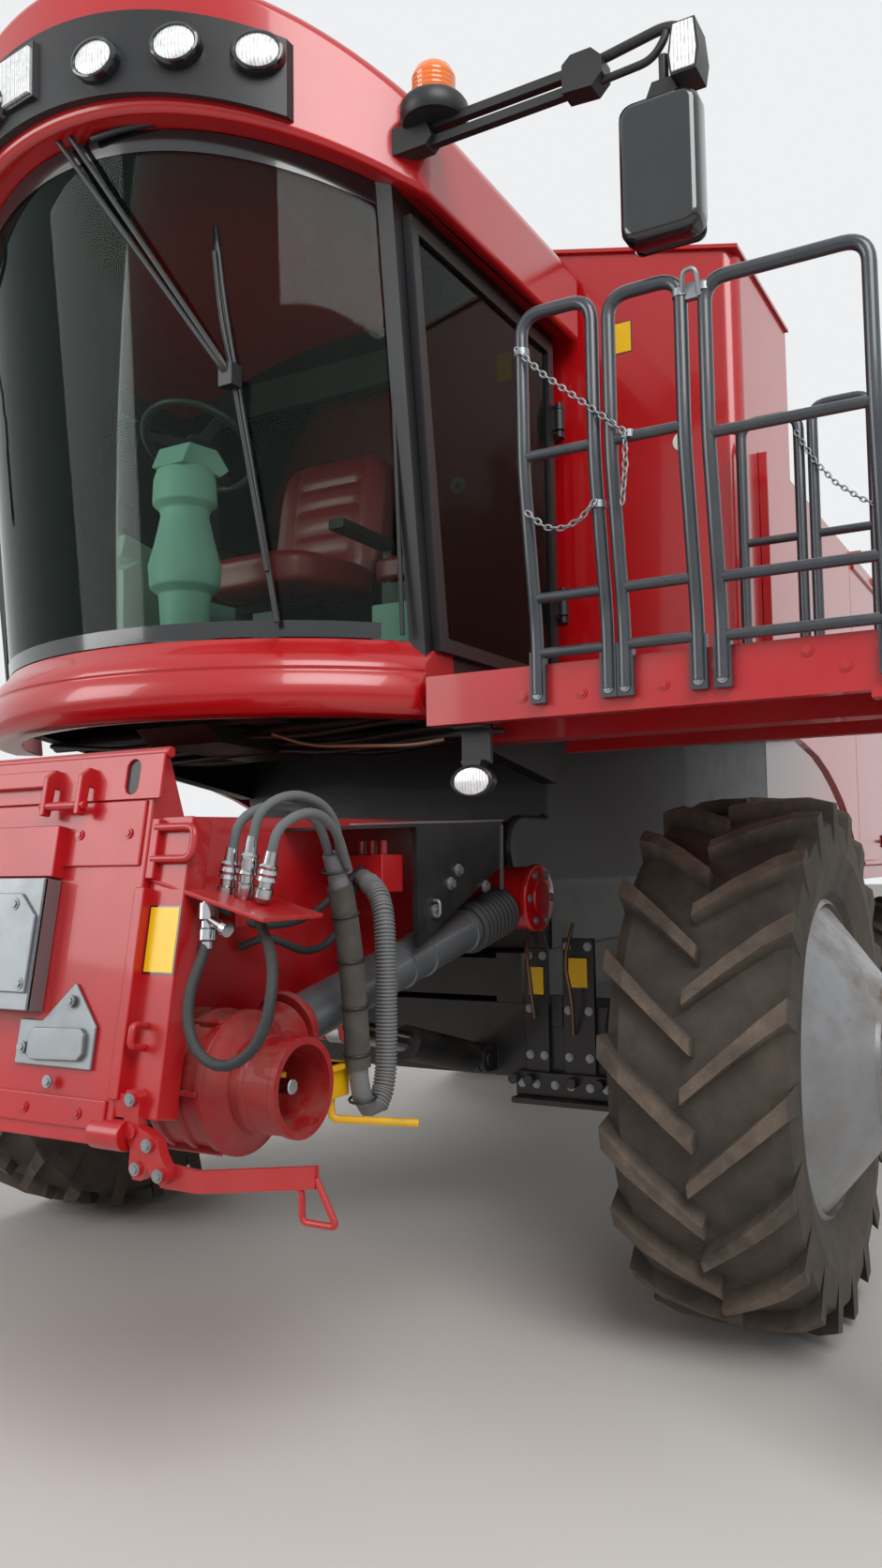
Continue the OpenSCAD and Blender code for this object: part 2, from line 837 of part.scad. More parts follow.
module unloading_tube() at_axle() color("#c41d18") {
    translate([turret_x, turret_y, auger_z - auger_r - 25])
        cylinder(r = auger_r + 10, h = 2 * auger_r + 45);
    translate([turret_x, turret_y, auger_z])
        rotate([-90, 0, 0])
            cylinder(r = auger_r, h = auger_len);
}

// Feeder channel: an open box between two side plates, tapering to the rear
channel_t = 30;
function plate_back(z) =
    plate_low_y + 89 + (z - plate_low_z) * (plate_top_y - plate_low_y - 9) / (1590 - plate_low_z);
module feeder_side_outline() {
    polygon([
        [pivot_y, pivot_z + 100],
        [plate_back(1590) + eps, 1590],
        [plate_back(plate_low_z + 20) + eps, plate_low_z + 20],
        [-1550, 985],
        [pivot_y - 250, 1290],
        [pivot_y, pivot_z - 100]]);
    translate([pivot_y, pivot_z])
        circle(r = 100);
}

module feeder_channel() at_axle() color("#c41d18") {
    difference() {
        side_profile(-feeder_x, feeder_x)
            feeder_side_outline();
        side_profile(-feeder_x + channel_t, feeder_x - channel_t)
            polygon([
                [pivot_y + 200, pivot_z + 70],
                [plate_top_y + 200, 1560],
                [plate_back(1560) - 40, 1560],
                [plate_back(1050) - 40, 1050],
                [-1550, 1020],
                [pivot_y - 250, 1325],
                [pivot_y + 200, pivot_z - 60]]);
        translate([0, pivot_y, pivot_z])
            rotate([0, 90, 0])
                cylinder(r = pivot_r + run_gap, h = 2000, center = true);
    }
    both_sides()
        for (side = [-1, 1])
            side_profile(lift_x + side * (lift_eye_w / 2 + 14) - 10, lift_x + side * (lift_eye_w / 2 + 14) + 10)
                polygon([
                    [lift_eye[0] - 60, lift_eye[1] + 10],
                    [lift_eye[0] - 35, lift_eye[1] - 35],
                    [lift_eye[0] + 35, lift_eye[1] - 35],
                    [lift_eye[0] + 60, lift_eye[1] + 10],
                    [lift_eye[0] + 120, lift_eye[1] + 165],
                    [lift_eye[0] - 120, lift_eye[1] + 110]]);
}

module feeder_plate() at_axle() color("#d3211c") {
    side_profile(-plate_x, plate_x)
        polygon([
            [plate_top_y, plate_top_z],
            [plate_low_y, plate_low_z],
            [plate_low_y + 89, plate_low_z],
            [plate_top_y + 80, 1590],
            [plate_top_y + 30, plate_top_z]]);
}

// Header drive: a drum on the feeder's side, its round guard and the splined stub inside
drive_y = -1850;
drive_z = 1000;
stub_r = 17.5;
module header_drive() at_axle() color("#b51c18") {
    translate([feeder_x, drive_y, drive_z])
        rotate([0, 90, 0])
            cylinder(r = 150, h = 170);
    translate([feeder_x + 169, drive_y, drive_z])
        rotate([0, 90, 0])
            difference() {
                cylinder(r = 100, h = 150);
                translate([0, 0, 15])
                    cylinder(r = 92, h = 150);
            }
    translate([feeder_x + 170, drive_y, drive_z])
        rotate([0, 90, 0])
            cylinder(r = stub_r, h = 120);
}

// Round guard over the drive shaft, its bellows and the red end housing
guard_a = [750, -1600, 1095];
guard_b = [800, -560, 1330];
module drive_guard() at_axle() color("#6c6f72") {
    bar(guard_a, guard_b, 62);
    translate([feeder_x, -500, 1360])
        rotate([0, 90, 0])
            cylinder(r = 105, h = 260);
}

module control_box() at_axle() color("#1c1d1f") {
    side_profile(845, 860)
        polygon([
            [-1200, 1250],
            [-1200, 1576],
            [-680, 1595],
            [-680, 1470]]);
    side_profile(feeder_x, 860)
        polygon([
            [-1500, 1562],
            [-1500, 1570],
            [-680, 1600],
            [-680, 1592]]);
}

module coupler_bracket() at_axle() color("#c41d18")
    block([feeder_x, -1915, 1380], [920, -1740, 1390]);

module lock_lever() at_axle() color("#c41d18") {
    block([plate_x + eps, -2110, 860], [plate_x + 60, -2050, 1020]);
    block([plate_x + 60, -2100, 870], [plate_x + 420, -2080, 930]);
}

// Lift cylinders under the feeder, one each side: base eyes on the axle, rod eyes left open
lift_x = 500;
lift_base = [-195, 780];
lift_eye = [-1050, 1000];
lift_len = norm(lift_eye - lift_base);
lift_angle = atan2(lift_eye[1] - lift_base[1], lift_eye[0] - lift_base[0]);
lift_pin_r = 20;
lift_eye_r = 45;
lift_eye_w = 50;
barrel_r = 55;
rod_r = 35;
barrel_len = 500;
module on_lift_line() {
    translate([lift_x, lift_base[0], lift_base[1]])
        rotate([lift_angle - 90, 0, 0])
            children();
}

module lift_barrels() at_axle() color("#1c1d1f") both_sides() on_lift_line() {
    difference() {
        union() {
            translate([0, 0, 70])
                cylinder(r = barrel_r, h = barrel_len - 70);
            block([-22, -30, 0], [22, 30, 71]);
            rotate([0, 90, 0])
                cylinder(r = lift_eye_r, h = lift_eye_w, center = true);
        }
        translate([0, 0, 80])
            cylinder(r = rod_r + run_gap, h = barrel_len);
        rotate([0, 90, 0])
            cylinder(r = lift_pin_r + run_gap, h = 2 * lift_eye_w, center = true);
    }
}

module lift_rods() at_axle() color("#c9cbcd") both_sides() on_lift_line() {
    translate([0, 0, 320])
        cylinder(r = rod_r, h = lift_len - 420);
    block([-22, -30, lift_len - 101], [22, 30, lift_len - 36]);
    translate([0, 0, lift_len])
        rotate([0, 90, 0])
            difference() {
                cylinder(r = lift_eye_r, h = lift_eye_w, center = true);
                cylinder(r = lift_pin_r + 12, h = 2 * lift_eye_w, center = true);
            }
}

// Cab
module cab_plan(r) {
    intersection() {
        translate([0, screen_y])
            circle(r = r, $fn = 128);
        translate([-cab_x, screen_y - 1200])
            square([2 * cab_x, 1200]);
    }
    translate([-cab_x, screen_y - 1])
        square([2 * cab_x, cab_rear_y - screen_y + 1]);
}

module cab_subframe() at_axle() color("#17181a") {
    translate([0, 0, 1990])
        linear_extrude(floor_z - 1990)
            cab_plan(screen_r - 41);
    // Carriers from the threshing body to the cab
    both_sides()
        side_profile(680, 740)
            polygon([
                [thresher_y - eps, 1760],
                [thresher_y - eps, 1991],
                [-1120, 1991],
                [-1120, 1930]]);
}

module cab_base() at_axle() color("#c41d18") {
    // Cowl under the windscreen, its raised lip only as wide as the glass
    intersection() {
        translate([0, screen_y, 0])
            rotate_extrude($fn = 128)
                polygon([
                    [screen_r - 40, 1880],
                    [screen_r + 35, 1880],
                    [screen_r + 70, 1915],
                    [screen_r + 70, 2015],
                    [screen_r + 50, floor_z],
                    [screen_r - 40, floor_z]]);
        block([-cab_x - 10, screen_y - 1200, 1800], [cab_x + 10, screen_y - 580, 2200]);
    }
    intersection() {
        translate([0, screen_y, 0])
            rotate_extrude($fn = 128)
                polygon([
                    [screen_r - 30, floor_z - 1],
                    [screen_r + 50, floor_z - 1],
                    [screen_r + 12, screen_z - eps],
                    [screen_r - 30, screen_z - eps]]);
        block([-cab_x + 55, screen_y - 1200, 1800], [cab_x - 55, screen_y - 580, 2200]);
    }
}

// Volume below the curved ceiling of the cab
module under_ceiling(inset) {
    translate([0, 0, ceiling_z - ceiling_r])
        rotate([90, 0, 0])
            cylinder(r = ceiling_r - inset, h = 6000, center = true, $fn = 256);
}

pillar_lean = 6.8;
door_axis = [cab_x + 50, cab_rear_y - 72];
CAB_HINGES = [2350, 3000];
module cab_frame() at_axle() color("#16171a") {
    intersection() {
        under_ceiling(eps);
        block([-cab_x, -2000, floor_z], [cab_x + 70, cab_rear_y, 3600]);
        union() {
            both_sides() {
                translate([cab_x - 50, screen_y - 600, floor_z])
                    rotate([pillar_lean, 0, 0])
                        translate([0, 0, -20])
                            cube([50, 50, 1600]);
                block([cab_x - 50, cab_rear_y - 60, floor_z], [cab_x, cab_rear_y, 3600]);
            }
            // Rear wall with its window
            difference() {
                block([-cab_x + 50, cab_rear_y - 40, floor_z], [cab_x - 50, cab_rear_y, 3600]);
                block([-650, cab_rear_y - 60, 2600], [650, cab_rear_y + 20, 3300]);
            }
            // Pins and lugs of the door on the left rear pillar
            for (z = CAB_HINGES) {
                translate([door_axis[0], door_axis[1], z - hinge_half])
                    cylinder(r = door_pin_r, h = 2 * hinge_half);
                for (dz = [-hinge_half, hinge_half - lug_w])
                    translate([0, 0, z + dz])
                        linear_extrude(lug_w) {
                            translate(door_axis)
                                circle(r = 12);
                            polygon([
                                [cab_x - 5, cab_rear_y - 62],
                                [cab_x - 5, cab_rear_y - 15],
                                [cab_x + 32, cab_rear_y - 15],
                                [door_axis[0] + 12, door_axis[1] + 20],
                                [door_axis[0] + 12, door_axis[1]],
                                [door_axis[0] - 12, door_axis[1]],
                                [door_axis[0] - 12, cab_rear_y - 62]]);
                        }
            }
            // Sills and headers between the pillars
            both_sides() {
                block([cab_x - 40, screen_y - 580, floor_z], [cab_x, cab_rear_y - 59, floor_z + 50]);
                block([cab_x - 40, screen_y - 720, 3265], [cab_x, cab_rear_y - 59, 3600]);
            }
        }
    }
}

module windscreen() at_axle() color("#7fa08a") {
    intersection() {
        translate([0, screen_y, screen_z])
            rotate_extrude($fn = 128)
                polygon([
                    [screen_r - glass_t, 0],
                    [screen_r, 0],
                    [screen_r + screen_flare, 1400],
                    [screen_r + screen_flare - glass_t, 1400]]);
        block([-cab_x + 55, screen_y - 1300, 2000], [cab_x - 55, screen_y - 300, 3600]);
        under_ceiling(eps);
    }
}

module cab_windows() at_axle() color("#7fa08a") {
    block([-650 + eps, cab_rear_y - 28, 2600 + eps], [650 - eps, cab_rear_y - 20, 3300 - eps]);
    side_profile(-cab_x + 16, -cab_x + 24)
        polygon([
            [screen_y - 545, floor_z + 50 + eps],
            [cab_rear_y - 60 - eps, floor_z + 50 + eps],
            [cab_rear_y - 60 - eps, 3265 - eps],
            [screen_y - 690, 3265 - eps]]);
}

// Door on the left, hinged at its rear edge
door_x0 = cab_x + 2;
door_x1 = cab_x + 30;
door_top = 3275;
module door_outline(inset) {
    polygon([
        [screen_y - 560 + inset, floor_z + 20 + inset],
        [cab_rear_y - 70 - inset, floor_z + 20 + inset],
        [cab_rear_y - 70 - inset, door_top - inset],
        [screen_y - 700 + inset, door_top - inset]]);
}

module door_frame() at_axle() color("#16171a") {
    side_profile(door_x0, door_x1)
        difference() {
            door_outline(0);
            door_outline(40);
        }
    for (z = CAB_HINGES)
        translate([0, 0, z - hinge_half + lug_w + 5])
            linear_extrude(2 * (hinge_half - lug_w - 5))
                difference() {
                    union() {
                        translate(door_axis)
                            circle(r = 18);
                        translate([door_x1 - 2, door_axis[1] - 14])
                            square([door_axis[0] - door_x1 + 2, 14]);
                    }
                    translate(door_axis)
                        circle(r = door_pin_r + run_gap);
                }
}

module door_glass() at_axle() color("#7fa08a") {
    side_profile(door_x0 + 8, door_x0 + 8 + glass_t)
        door_outline(40.3);
}

// Roof with a curved crown and brow
crown_r = 1300;
module cab_roof() at_axle() color("#d3211c") {
    difference() {
        intersection() {
            translate([0, 0, 3200])
                linear_extrude(roof_z - 3200) {
                    intersection() {
                        translate([0, screen_y])
                            circle(r = brow_r, $fn = 128);
                        translate([-roof_x, screen_y - 1300])
                            square([2 * roof_x, 1300]);
                    }
                    translate([-roof_x, screen_y - 1])
                        square([2 * roof_x, tank_y - 20 - screen_y + 1]);
                }
            translate([0, 0, roof_z - crown_r])
                rotate([90, 0, 0])
                    cylinder(r = crown_r, h = 6000, center = true, $fn = 256);
        }
        under_ceiling(0);
    }
}

// Black lamp panel on the brow with a housing for each lamp; columns [angle from the nose, height]
LAMPS = [[9.6, 3645], [20.6, 3640], [30.8, 3605]];
panel_r = brow_r + eps;
module on_brow(angle, z, r) {
    translate([r * sin(angle), screen_y - r * cos(angle), z])
        rotate([90, 0, angle])
            children();
}

module lamp_panel() at_axle() color("#141517") {
    difference() {
        intersection() {
            translate([0, screen_y, 3300])
                difference() {
                    cylinder(r = panel_r + 25, h = 700, $fn = 128);
                    translate([0, 0, -1])
                        cylinder(r = panel_r, h = 800, $fn = 128);
                }
            translate([0, 0, 2080])
                rotate([90, 0, 0])
                    cylinder(r = 1720, h = 3000, $fn = 256);
            block([-690, screen_y - 1300, 3300], [690, screen_y - 900, 3900]);
        }
        translate([0, 0, 35])
            under_ceiling(0);
    }
    both_sides()
        for (l = LAMPS)
            on_brow(l[0], l[1], panel_r + 12)
                scale([1.25, 1, 1])
                    cylinder(r = 52, h = 38);
}

module roof_lamps() at_axle() color("#c9cdd0") both_sides()
    for (l = LAMPS)
        on_brow(l[0], l[1], panel_r + 50 + eps)
            scale([1.25, 1, 1])
                cylinder(r = 45, h = 8);

// Seats: the driver's in the middle and a small one by the door
module seats() at_axle() color("#6b1a1a") {
    block([-250, -900, 2400], [250, -420, 2500]);
    block([-240, -421, 2420], [240, -300, 3000]);
    block([-60, -700, floor_z], [60, -580, 2400]);
    block([380, -700, 2420], [740, -360, 2490]);
    block([380, -361, 2430], [740, -290, 2800]);
    block([400, -680, floor_z], [720, -400, 2420]);
}

module steering_console() at_axle() color("#5a7d74") {
    translate([-60, -1180, floor_z])
        cylinder(r = 90, h = 650);
    block([-720, -1000, floor_z], [-420, -400, 2520]);
}

// Platform beside the cab
platform_y1 = -205;
module platform() at_axle() color("#c41d18") {
    block([cab_x + 40, platform_y, platform_z - beam_h], [platform_x, platform_y + 40, platform_z]);
    block([cab_x + 40, platform_y + 39, platform_z - 20], [platform_x, platform_y1, platform_z]);
    block([platform_x - 40, platform_y + 39, platform_z - beam_h], [platform_x, platform_y1, platform_z]);
    block([cab_x + 40, platform_y1 - 40, platform_z - beam_h], [platform_x, platform_y1, platform_z]);
    // Carrier under the cab's side
    block([740, -700, platform_z - beam_h], [platform_x - 39, -600, platform_z - 19]);
    // Post that the ladder swings on
    block([platform_x - 60, platform_y - 25, platform_z - beam_h - 20],
        [platform_x + 32, platform_y + 25, platform_z - beam_h + 1]);
    translate([ladder_x, platform_y, LADDER_LUGS[0] - 12])
        cylinder(r = ladder_pin_r, h = platform_z - beam_h - 5 - LADDER_LUGS[0]);
    translate([ladder_x, platform_y, LADDER_LUGS[0] - 14])
        cylinder(r = ladder_pin_r + 10, h = 14 - eps);
}

// Guard rails on the platform's front beam, columns [inner x, outer x]
HOOPS = [[1227, 1419], [1460, 1647]];
rail_y = platform_y - tube_r - eps;
module hoop(x0, x1) {
    bent_tube([
        [x0, rail_y, platform_z - 130],
        [x0, rail_y, rail_top],
        [x1, rail_y, rail_top],
        [x1, rail_y, platform_z - 130]], tube_r, 60);
    for (z = [2520, 2145, 2005])
        bar([x0, rail_y, z], [x1, rail_y, z], tube_r * 0.8);
}

module front_rails() at_axle() color("#2f3439") {
    for (h = HOOPS)
        hoop(h[0], h[1]);
    bent_tube([
        [1706, rail_y, platform_z - 130],
        [1706, rail_y, rail_top],
        [platform_x - 20, rail_y, rail_top],
        [platform_x - 20, rail_y, platform_z - 130]], tube_r, 60);
    for (z = [2507, 2138, 2000])
        bar([1706, rail_y, z], [platform_x - 20, rail_y, z], tube_r);
}

module rear_rails() at_axle() color("#2f3439") {
    y = platform_y1 - 20;
    bent_tube([
        [1520, y, platform_z],
        [1520, y, rail_top],
        [1700, y, rail_top],
        [1700, y, platform_z]], tube_r, 40);
    bent_tube([
        [1745, y, platform_z],
        [1745, y, rail_top + 30],
        [2060, y, rail_top + 30],
        [2060, y, platform_z]], tube_r, 60);
    bar([1745, y, 2500], [2060, y, 2500], tube_r);
    bar([1520, y, 2500], [1700, y, 2500], tube_r);
}

// Ladder hung at the platform's outer end
ladder_x = platform_x + 5;
ladder_y = platform_y + 30;
ladder_w = 440;
ladder_pin_r = 16;
LADDER_LUGS = [1500, 1780];
module ladder() at_axle() color("#2a2d31") {
    for (y = [ladder_y, ladder_y + ladder_w - 30])
        block([ladder_x, y, 420], [ladder_x + 110, y + 30, platform_z - beam_h - 30]);
    for (i = [0 : 4])
        block([ladder_x, ladder_y + 29, 440 + i * 300], [ladder_x + 110, ladder_y + ladder_w - 29, 470 + i * 300]);
    for (z = LADDER_LUGS)
        translate([ladder_x, platform_y, z])
            linear_extrude(30)
                difference() {
                    union() {
                        circle(r = 30);
                        square([50, ladder_y - platform_y + 1]);
                    }
                    circle(r = ladder_pin_r + run_gap);
                }
}

// Mirrors on long arms: twin square tubes, a clamp box, a looped tube and the head
module rounded_plate(w, z0, z1, r) {
    for (x = [-w / 2 + r, w / 2 - r])
        for (z = [z0 + r, z1 - r])
            translate([x, z])
                circle(r = r);
    translate([-w / 2, z0 + r])
        square([w, z1 - z0 - 2 * r]);
    translate([-w / 2 + r, z0])
        square([w - 2 * r, z1 - z0]);
}

mirror_y = -1300;
beacon_x = 1004;
arm_z = [3395, 3440];
module mirror_set(head_x) {
    clamp_x = head_x - 228;
    difference() {
        for (z = arm_z)
            block([895, mirror_y - 12, z - 12], [clamp_x + 2, mirror_y + 12, z + 12]);
        translate([0, screen_y, 3300])
            cylinder(r = panel_r, h = 300, $fn = 128);
    }
    block([clamp_x, mirror_y - 22, 3370], [clamp_x + 60, mirror_y + 22, 3465]);
    bent_tube([
        [clamp_x + 59, mirror_y, 3445],
        [head_x + 50, mirror_y, 3445],
        [head_x + 50, mirror_y, 3280]], 12, 40);
    bar([clamp_x + 59, mirror_y, 3395], [head_x + 50, mirror_y, 3395], 9);
    translate([head_x, mirror_y + 45, 0])
        rotate([90, 0, 0])
            linear_extrude(90)
                rounded_plate(200, 2935, 3290, 32);
    // Base of the beacon on the arm
    translate([beacon_x, mirror_y, 3440])
        cylinder(r = 60, h = 60);
}

mirror_left = 1628;
mirror_right = 2115;
module mirrors() at_axle() color("#26282b") {
    mirror_set(mirror_left);
    mirror([1, 0, 0])
        mirror_set(mirror_right);
}

module mirror_glass() at_axle() color("#b9c4c9")
    for (x = [mirror_left, -mirror_right])
        translate([x, mirror_y + 45 + eps + 4, 0])
            rotate([90, 0, 0])
                linear_extrude(4)
                    rounded_plate(180, 2945, 3280, 24);

module beacons() at_axle() color("#e8730e") both_sides()
    translate([beacon_x, mirror_y, 3500 + eps])
        rotate_extrude()
            intersection() {
                union() {
                    square([50, 60]);
                    translate([0, 60])
                        circle(r = 50);
                }
                square([50, 200]);
            }

frame_rails();
front_axle();
rear_axle();
tyre_front_left();
tyre_front_right();
rim_front_left();
rim_front_right();
knuckle_left();
knuckle_right();
tie_rod();
tyre_rear_left();
tyre_rear_right();
rim_rear_left();
rim_rear_right();
thresher_body();
straw_hood();
chopper();
chopper_flap();
rear_hatch();
wheel_arch_panels();
side_door_left();
side_door_right();
grain_tank();
tank_cover_left();
tank_cover_right();
engine_block();
engine_hood();
engine_deck();
unloading_turret();
unloading_tube();
feeder_channel();
feeder_plate();
header_drive();
drive_guard();
control_box();
coupler_bracket();
lock_lever();
lift_barrels();
lift_rods();
cab_subframe();
cab_base();
cab_frame();
cab_roof();
windscreen();
cab_windows();
door_frame();
door_glass();
seats();
steering_console();
platform();
front_rails();
rear_rails();
ladder();
mirrors();
mirror_glass();
beacons();
lamp_panel();
roof_lamps();
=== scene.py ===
"""Looks of the combine harvester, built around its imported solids. Metres, +X the machine's left, -Y its front."""
import json
import math

import bmesh
import bpy
from mathutils import Matrix, Vector


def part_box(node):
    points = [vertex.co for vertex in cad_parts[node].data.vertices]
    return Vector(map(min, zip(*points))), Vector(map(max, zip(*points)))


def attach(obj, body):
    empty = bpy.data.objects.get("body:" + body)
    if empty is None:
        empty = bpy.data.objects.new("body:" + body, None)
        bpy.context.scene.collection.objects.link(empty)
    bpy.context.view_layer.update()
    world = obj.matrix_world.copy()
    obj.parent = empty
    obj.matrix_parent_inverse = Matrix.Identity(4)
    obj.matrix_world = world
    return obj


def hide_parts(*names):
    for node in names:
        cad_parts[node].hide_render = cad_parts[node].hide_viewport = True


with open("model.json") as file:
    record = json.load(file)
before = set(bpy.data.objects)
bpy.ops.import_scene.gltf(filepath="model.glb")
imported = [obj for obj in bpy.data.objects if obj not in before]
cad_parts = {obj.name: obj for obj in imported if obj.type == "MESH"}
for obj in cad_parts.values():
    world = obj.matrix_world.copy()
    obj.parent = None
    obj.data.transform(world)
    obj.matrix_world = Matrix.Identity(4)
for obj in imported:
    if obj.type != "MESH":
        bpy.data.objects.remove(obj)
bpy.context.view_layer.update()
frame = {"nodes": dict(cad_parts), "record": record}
NODES = frame["nodes"]
BODY_OF = {node: body for body, nodes in frame["record"]["behaviour"]["bodies"].items() for node in nodes}
SLOT_OF = {part["node"]: part["material_slot"] for part in frame["record"]["subparts"]}
AXLE = -1.883  # the front axle's place along the machine
# In mm, y from the front axle: the cab's circle, half its width, its ceiling's cylinder, and the tank's front
CAB_CENTRE = -520
CAB_HALF = 858
CEILING_R, CEILING_TOP = 1990, 3530
TANK_FRONT = -150


def at(x, y, z):
    """A point whose y is given from the front axle."""
    return Vector((x, y + AXLE, z))


# The photograph's focal length and its height, which is its longer side, both in pixels
FOCAL, PHOTO_HEIGHT = 1236, 1672


# Camera: the photograph's place, turn and lens
def place_camera():
    yaw, pitch, roll = math.radians(29.5), math.radians(3.9), math.radians(-0.85)
    ahead = Vector((-math.sin(yaw) * math.cos(pitch), math.cos(yaw) * math.cos(pitch), math.sin(pitch)))
    level = Vector((math.cos(yaw), math.sin(yaw), 0))
    over = level.cross(ahead)
    right = level * math.cos(roll) + over * math.sin(roll)
    up = over * math.cos(roll) - level * math.sin(roll)
    data = bpy.data.cameras.new("photograph_camera")
    data.sensor_width = 36
    data.lens = data.sensor_width * FOCAL / PHOTO_HEIGHT
    data.clip_end = 200
    camera = bpy.data.objects.new("photograph_camera", data)
    bpy.context.scene.collection.objects.link(camera)
    turn = Matrix((right, up, -ahead)).transposed().to_4x4()
    camera.matrix_world = Matrix.Translation(at(2.46, -3.89, 1.475)) @ turn
    bpy.context.scene.camera = camera


place_camera()


# Colours, nodes and finishes
def linear(hex_colour):
    """An sRGB hex colour as linear RGBA."""
    values = [int(hex_colour[i:i + 2], 16) / 255 for i in (0, 2, 4)]
    return [v / 12.92 if v <= 0.04045 else ((v + 0.055) / 1.055) ** 2.4 for v in values] + [1.0]


def add(tree, kind, inputs=None, **settings):
    """A node with its settings. An input takes a value, a socket, or a node for its first output."""
    node = tree.nodes.new(kind)
    for key, value in settings.items():
        setattr(node, key, value)
    for key, value in (inputs or {}).items():
        if isinstance(value, bpy.types.Node):
            value = value.outputs[0]
        if isinstance(value, bpy.types.NodeSocket):
            tree.links.new(value, node.inputs[key])
        else:
            node.inputs[key].default_value = value
    return node


def finish_named(name):
    """A new material, its emptied tree and the piece's own coordinates."""
    material = bpy.data.materials.new(name)
    material.use_nodes = True
    tree = material.node_tree
    tree.nodes.clear()
    return material, tree, add(tree, "ShaderNodeTexCoord").outputs["Object"]


def settled_dust(tree, place, share, patch_mm, low=0.0, low_top=1.6):
    """Mask of settled dust: patches of patch_mm, more on faces that look up and near the ground."""
    patches = add(tree, "ShaderNodeTexNoise", {
        "Vector": place, "Scale": 1000 / patch_mm, "Detail": 7.0, "Roughness": 0.62})
    cloud = add(tree, "ShaderNodeMapRange", {"Value": patches, "From Min": 0.42, "From Max": 0.72})
    facing = add(tree, "ShaderNodeSeparateXYZ", {
        "Vector": add(tree, "ShaderNodeNewGeometry").outputs["Normal"]})
    upward = add(tree, "ShaderNodeMapRange", {
        "Value": facing.outputs["Z"], "From Min": 0.1, "From Max": 1.0, "To Min": 0.35, "To Max": 1.3})
    height = add(tree, "ShaderNodeSeparateXYZ", {"Vector": place})
    near_ground = add(tree, "ShaderNodeMapRange", {
        "Value": height.outputs["Z"], "From Min": low_top, "From Max": 0.2, "To Min": 1.0, "To Max": 1.0 + low})
    product = add(tree, "ShaderNodeMath", {0: cloud, 1: upward}, operation="MULTIPLY")
    product = add(tree, "ShaderNodeMath", {0: product, 1: near_ground}, operation="MULTIPLY")
    return add(tree, "ShaderNodeMath", {0: product, 1: share}, operation="MULTIPLY", use_clamp=True)


def blended(tree, mask, clean, over):
    """A colour that goes from clean to over with the mask: inputs 6 and 7 and output 2 are the mix's colours."""
    return add(tree, "ShaderNodeMix", {0: mask, 6: clean, 7: over}, data_type="RGBA").outputs[2]


def coated(name, colour, shade, dust, share, rough, coat=0.0, metallic=0.0,
        patch_mm=320, grain_mm=9, bump=0.05, chips=None, low=0.6):
    """Coated or bare metal and plastic: two close shades, fine grain, settled dust and, if asked, chipped spots."""
    material, tree, place = finish_named(name)
    mottle = add(tree, "ShaderNodeTexNoise", {"Vector": place, "Scale": 5.0, "Detail": 4.0})
    body = blended(tree, mottle, linear(colour), linear(shade))
    grain = add(tree, "ShaderNodeTexNoise", {"Vector": place, "Scale": 1000 / grain_mm, "Detail": 3.0})
    if chips:
        spots = add(tree, "ShaderNodeTexNoise", {
            "Vector": place, "Scale": 1000 / 26, "Detail": 8.0, "Roughness": 0.7})
        worn = add(tree, "ShaderNodeMapRange", {"Value": spots, "From Min": 0.685, "From Max": 0.70})
        body = blended(tree, worn, body, linear(chips))
    mask = settled_dust(tree, place, share, patch_mm, low)
    colour_out = blended(tree, mask, body, linear(dust))
    roughness = add(tree, "ShaderNodeMapRange", {
        "Value": mask, "To Min": rough, "To Max": min(rough + 0.45, 0.95)})
    relief = add(tree, "ShaderNodeBump", {"Height": grain, "Strength": bump, "Distance": 0.001})
    shader = add(tree, "ShaderNodeBsdfPrincipled", {
        "Base Color": colour_out, "Roughness": roughness, "Metallic": metallic,
        "Coat Weight": coat, "Coat Roughness": 0.06, "Normal": relief})
    add(tree, "ShaderNodeOutputMaterial", {"Surface": shader})
    return material


def ribbed_lens(name):
    """Moulded clear plastic seen over silver, its colour a painted reflection: the optic ribs part it into brighter
    and darker painted stripes, dotted with painted white glints, and give it a ribbed relief.
    """
    material, tree, place = finish_named(name)
    ribs = add(tree, "ShaderNodeTexWave", {
        "Vector": place, "Scale": 35.0, "Distortion": 0.4}, wave_type="BANDS", bands_direction="X")
    # Painted white glints, one at the middle of each small cell
    painted_glint_cells = add(tree, "ShaderNodeTexVoronoi", {"Vector": place, "Scale": 70.0})
    # Painted reflection of the silvered bowl: lighter and darker stripes along the ribs
    painted_reflection_stripes = blended(tree, ribs.outputs["Fac"], linear("AEB4B8"), linear("FBFCFC"))
    painted_glints_over_stripes = blended(tree, painted_glint_cells, linear("FFFFFF"), painted_reflection_stripes)
    relief = add(tree, "ShaderNodeBump", {"Height": ribs.outputs["Fac"], "Strength": 0.5, "Distance": 0.002})
    shader = add(tree, "ShaderNodeBsdfPrincipled", {
        "Base Color": painted_glints_over_stripes, "Roughness": 0.16, "Metallic": 0.2, "Coat Weight": 0.8,
        "Coat Roughness": 0.04, "Normal": relief})
    add(tree, "ShaderNodeOutputMaterial", {"Surface": shader})
    return material


# Sprayed red enamel over steel sheet: deep, wet gloss with light dust
RED = coated("baked_red_enamel", "B8050F", "A8040D", "8C6458", 0.10, 0.26, 0.5, patch_mm=420, bump=0.02)
# The same enamel on the frame and feeder, where chaff dulls it to a pinkish red
RED_WORN = coated("worn_red_enamel", "B90C18", "A0070F", "8A5A50", 0.34,
    0.36, 0.3, patch_mm=150, chips="4A1F1A")
# Sprayed red over a rough iron casting
RED_CAST = coated("red_enamel_on_cast_iron", "A30C16", "800A10", "80584A",
    0.55, 0.5, 0.1, patch_mm=70, grain_mm=3, bump=0.5, chips="3A2A26", low=1.0)
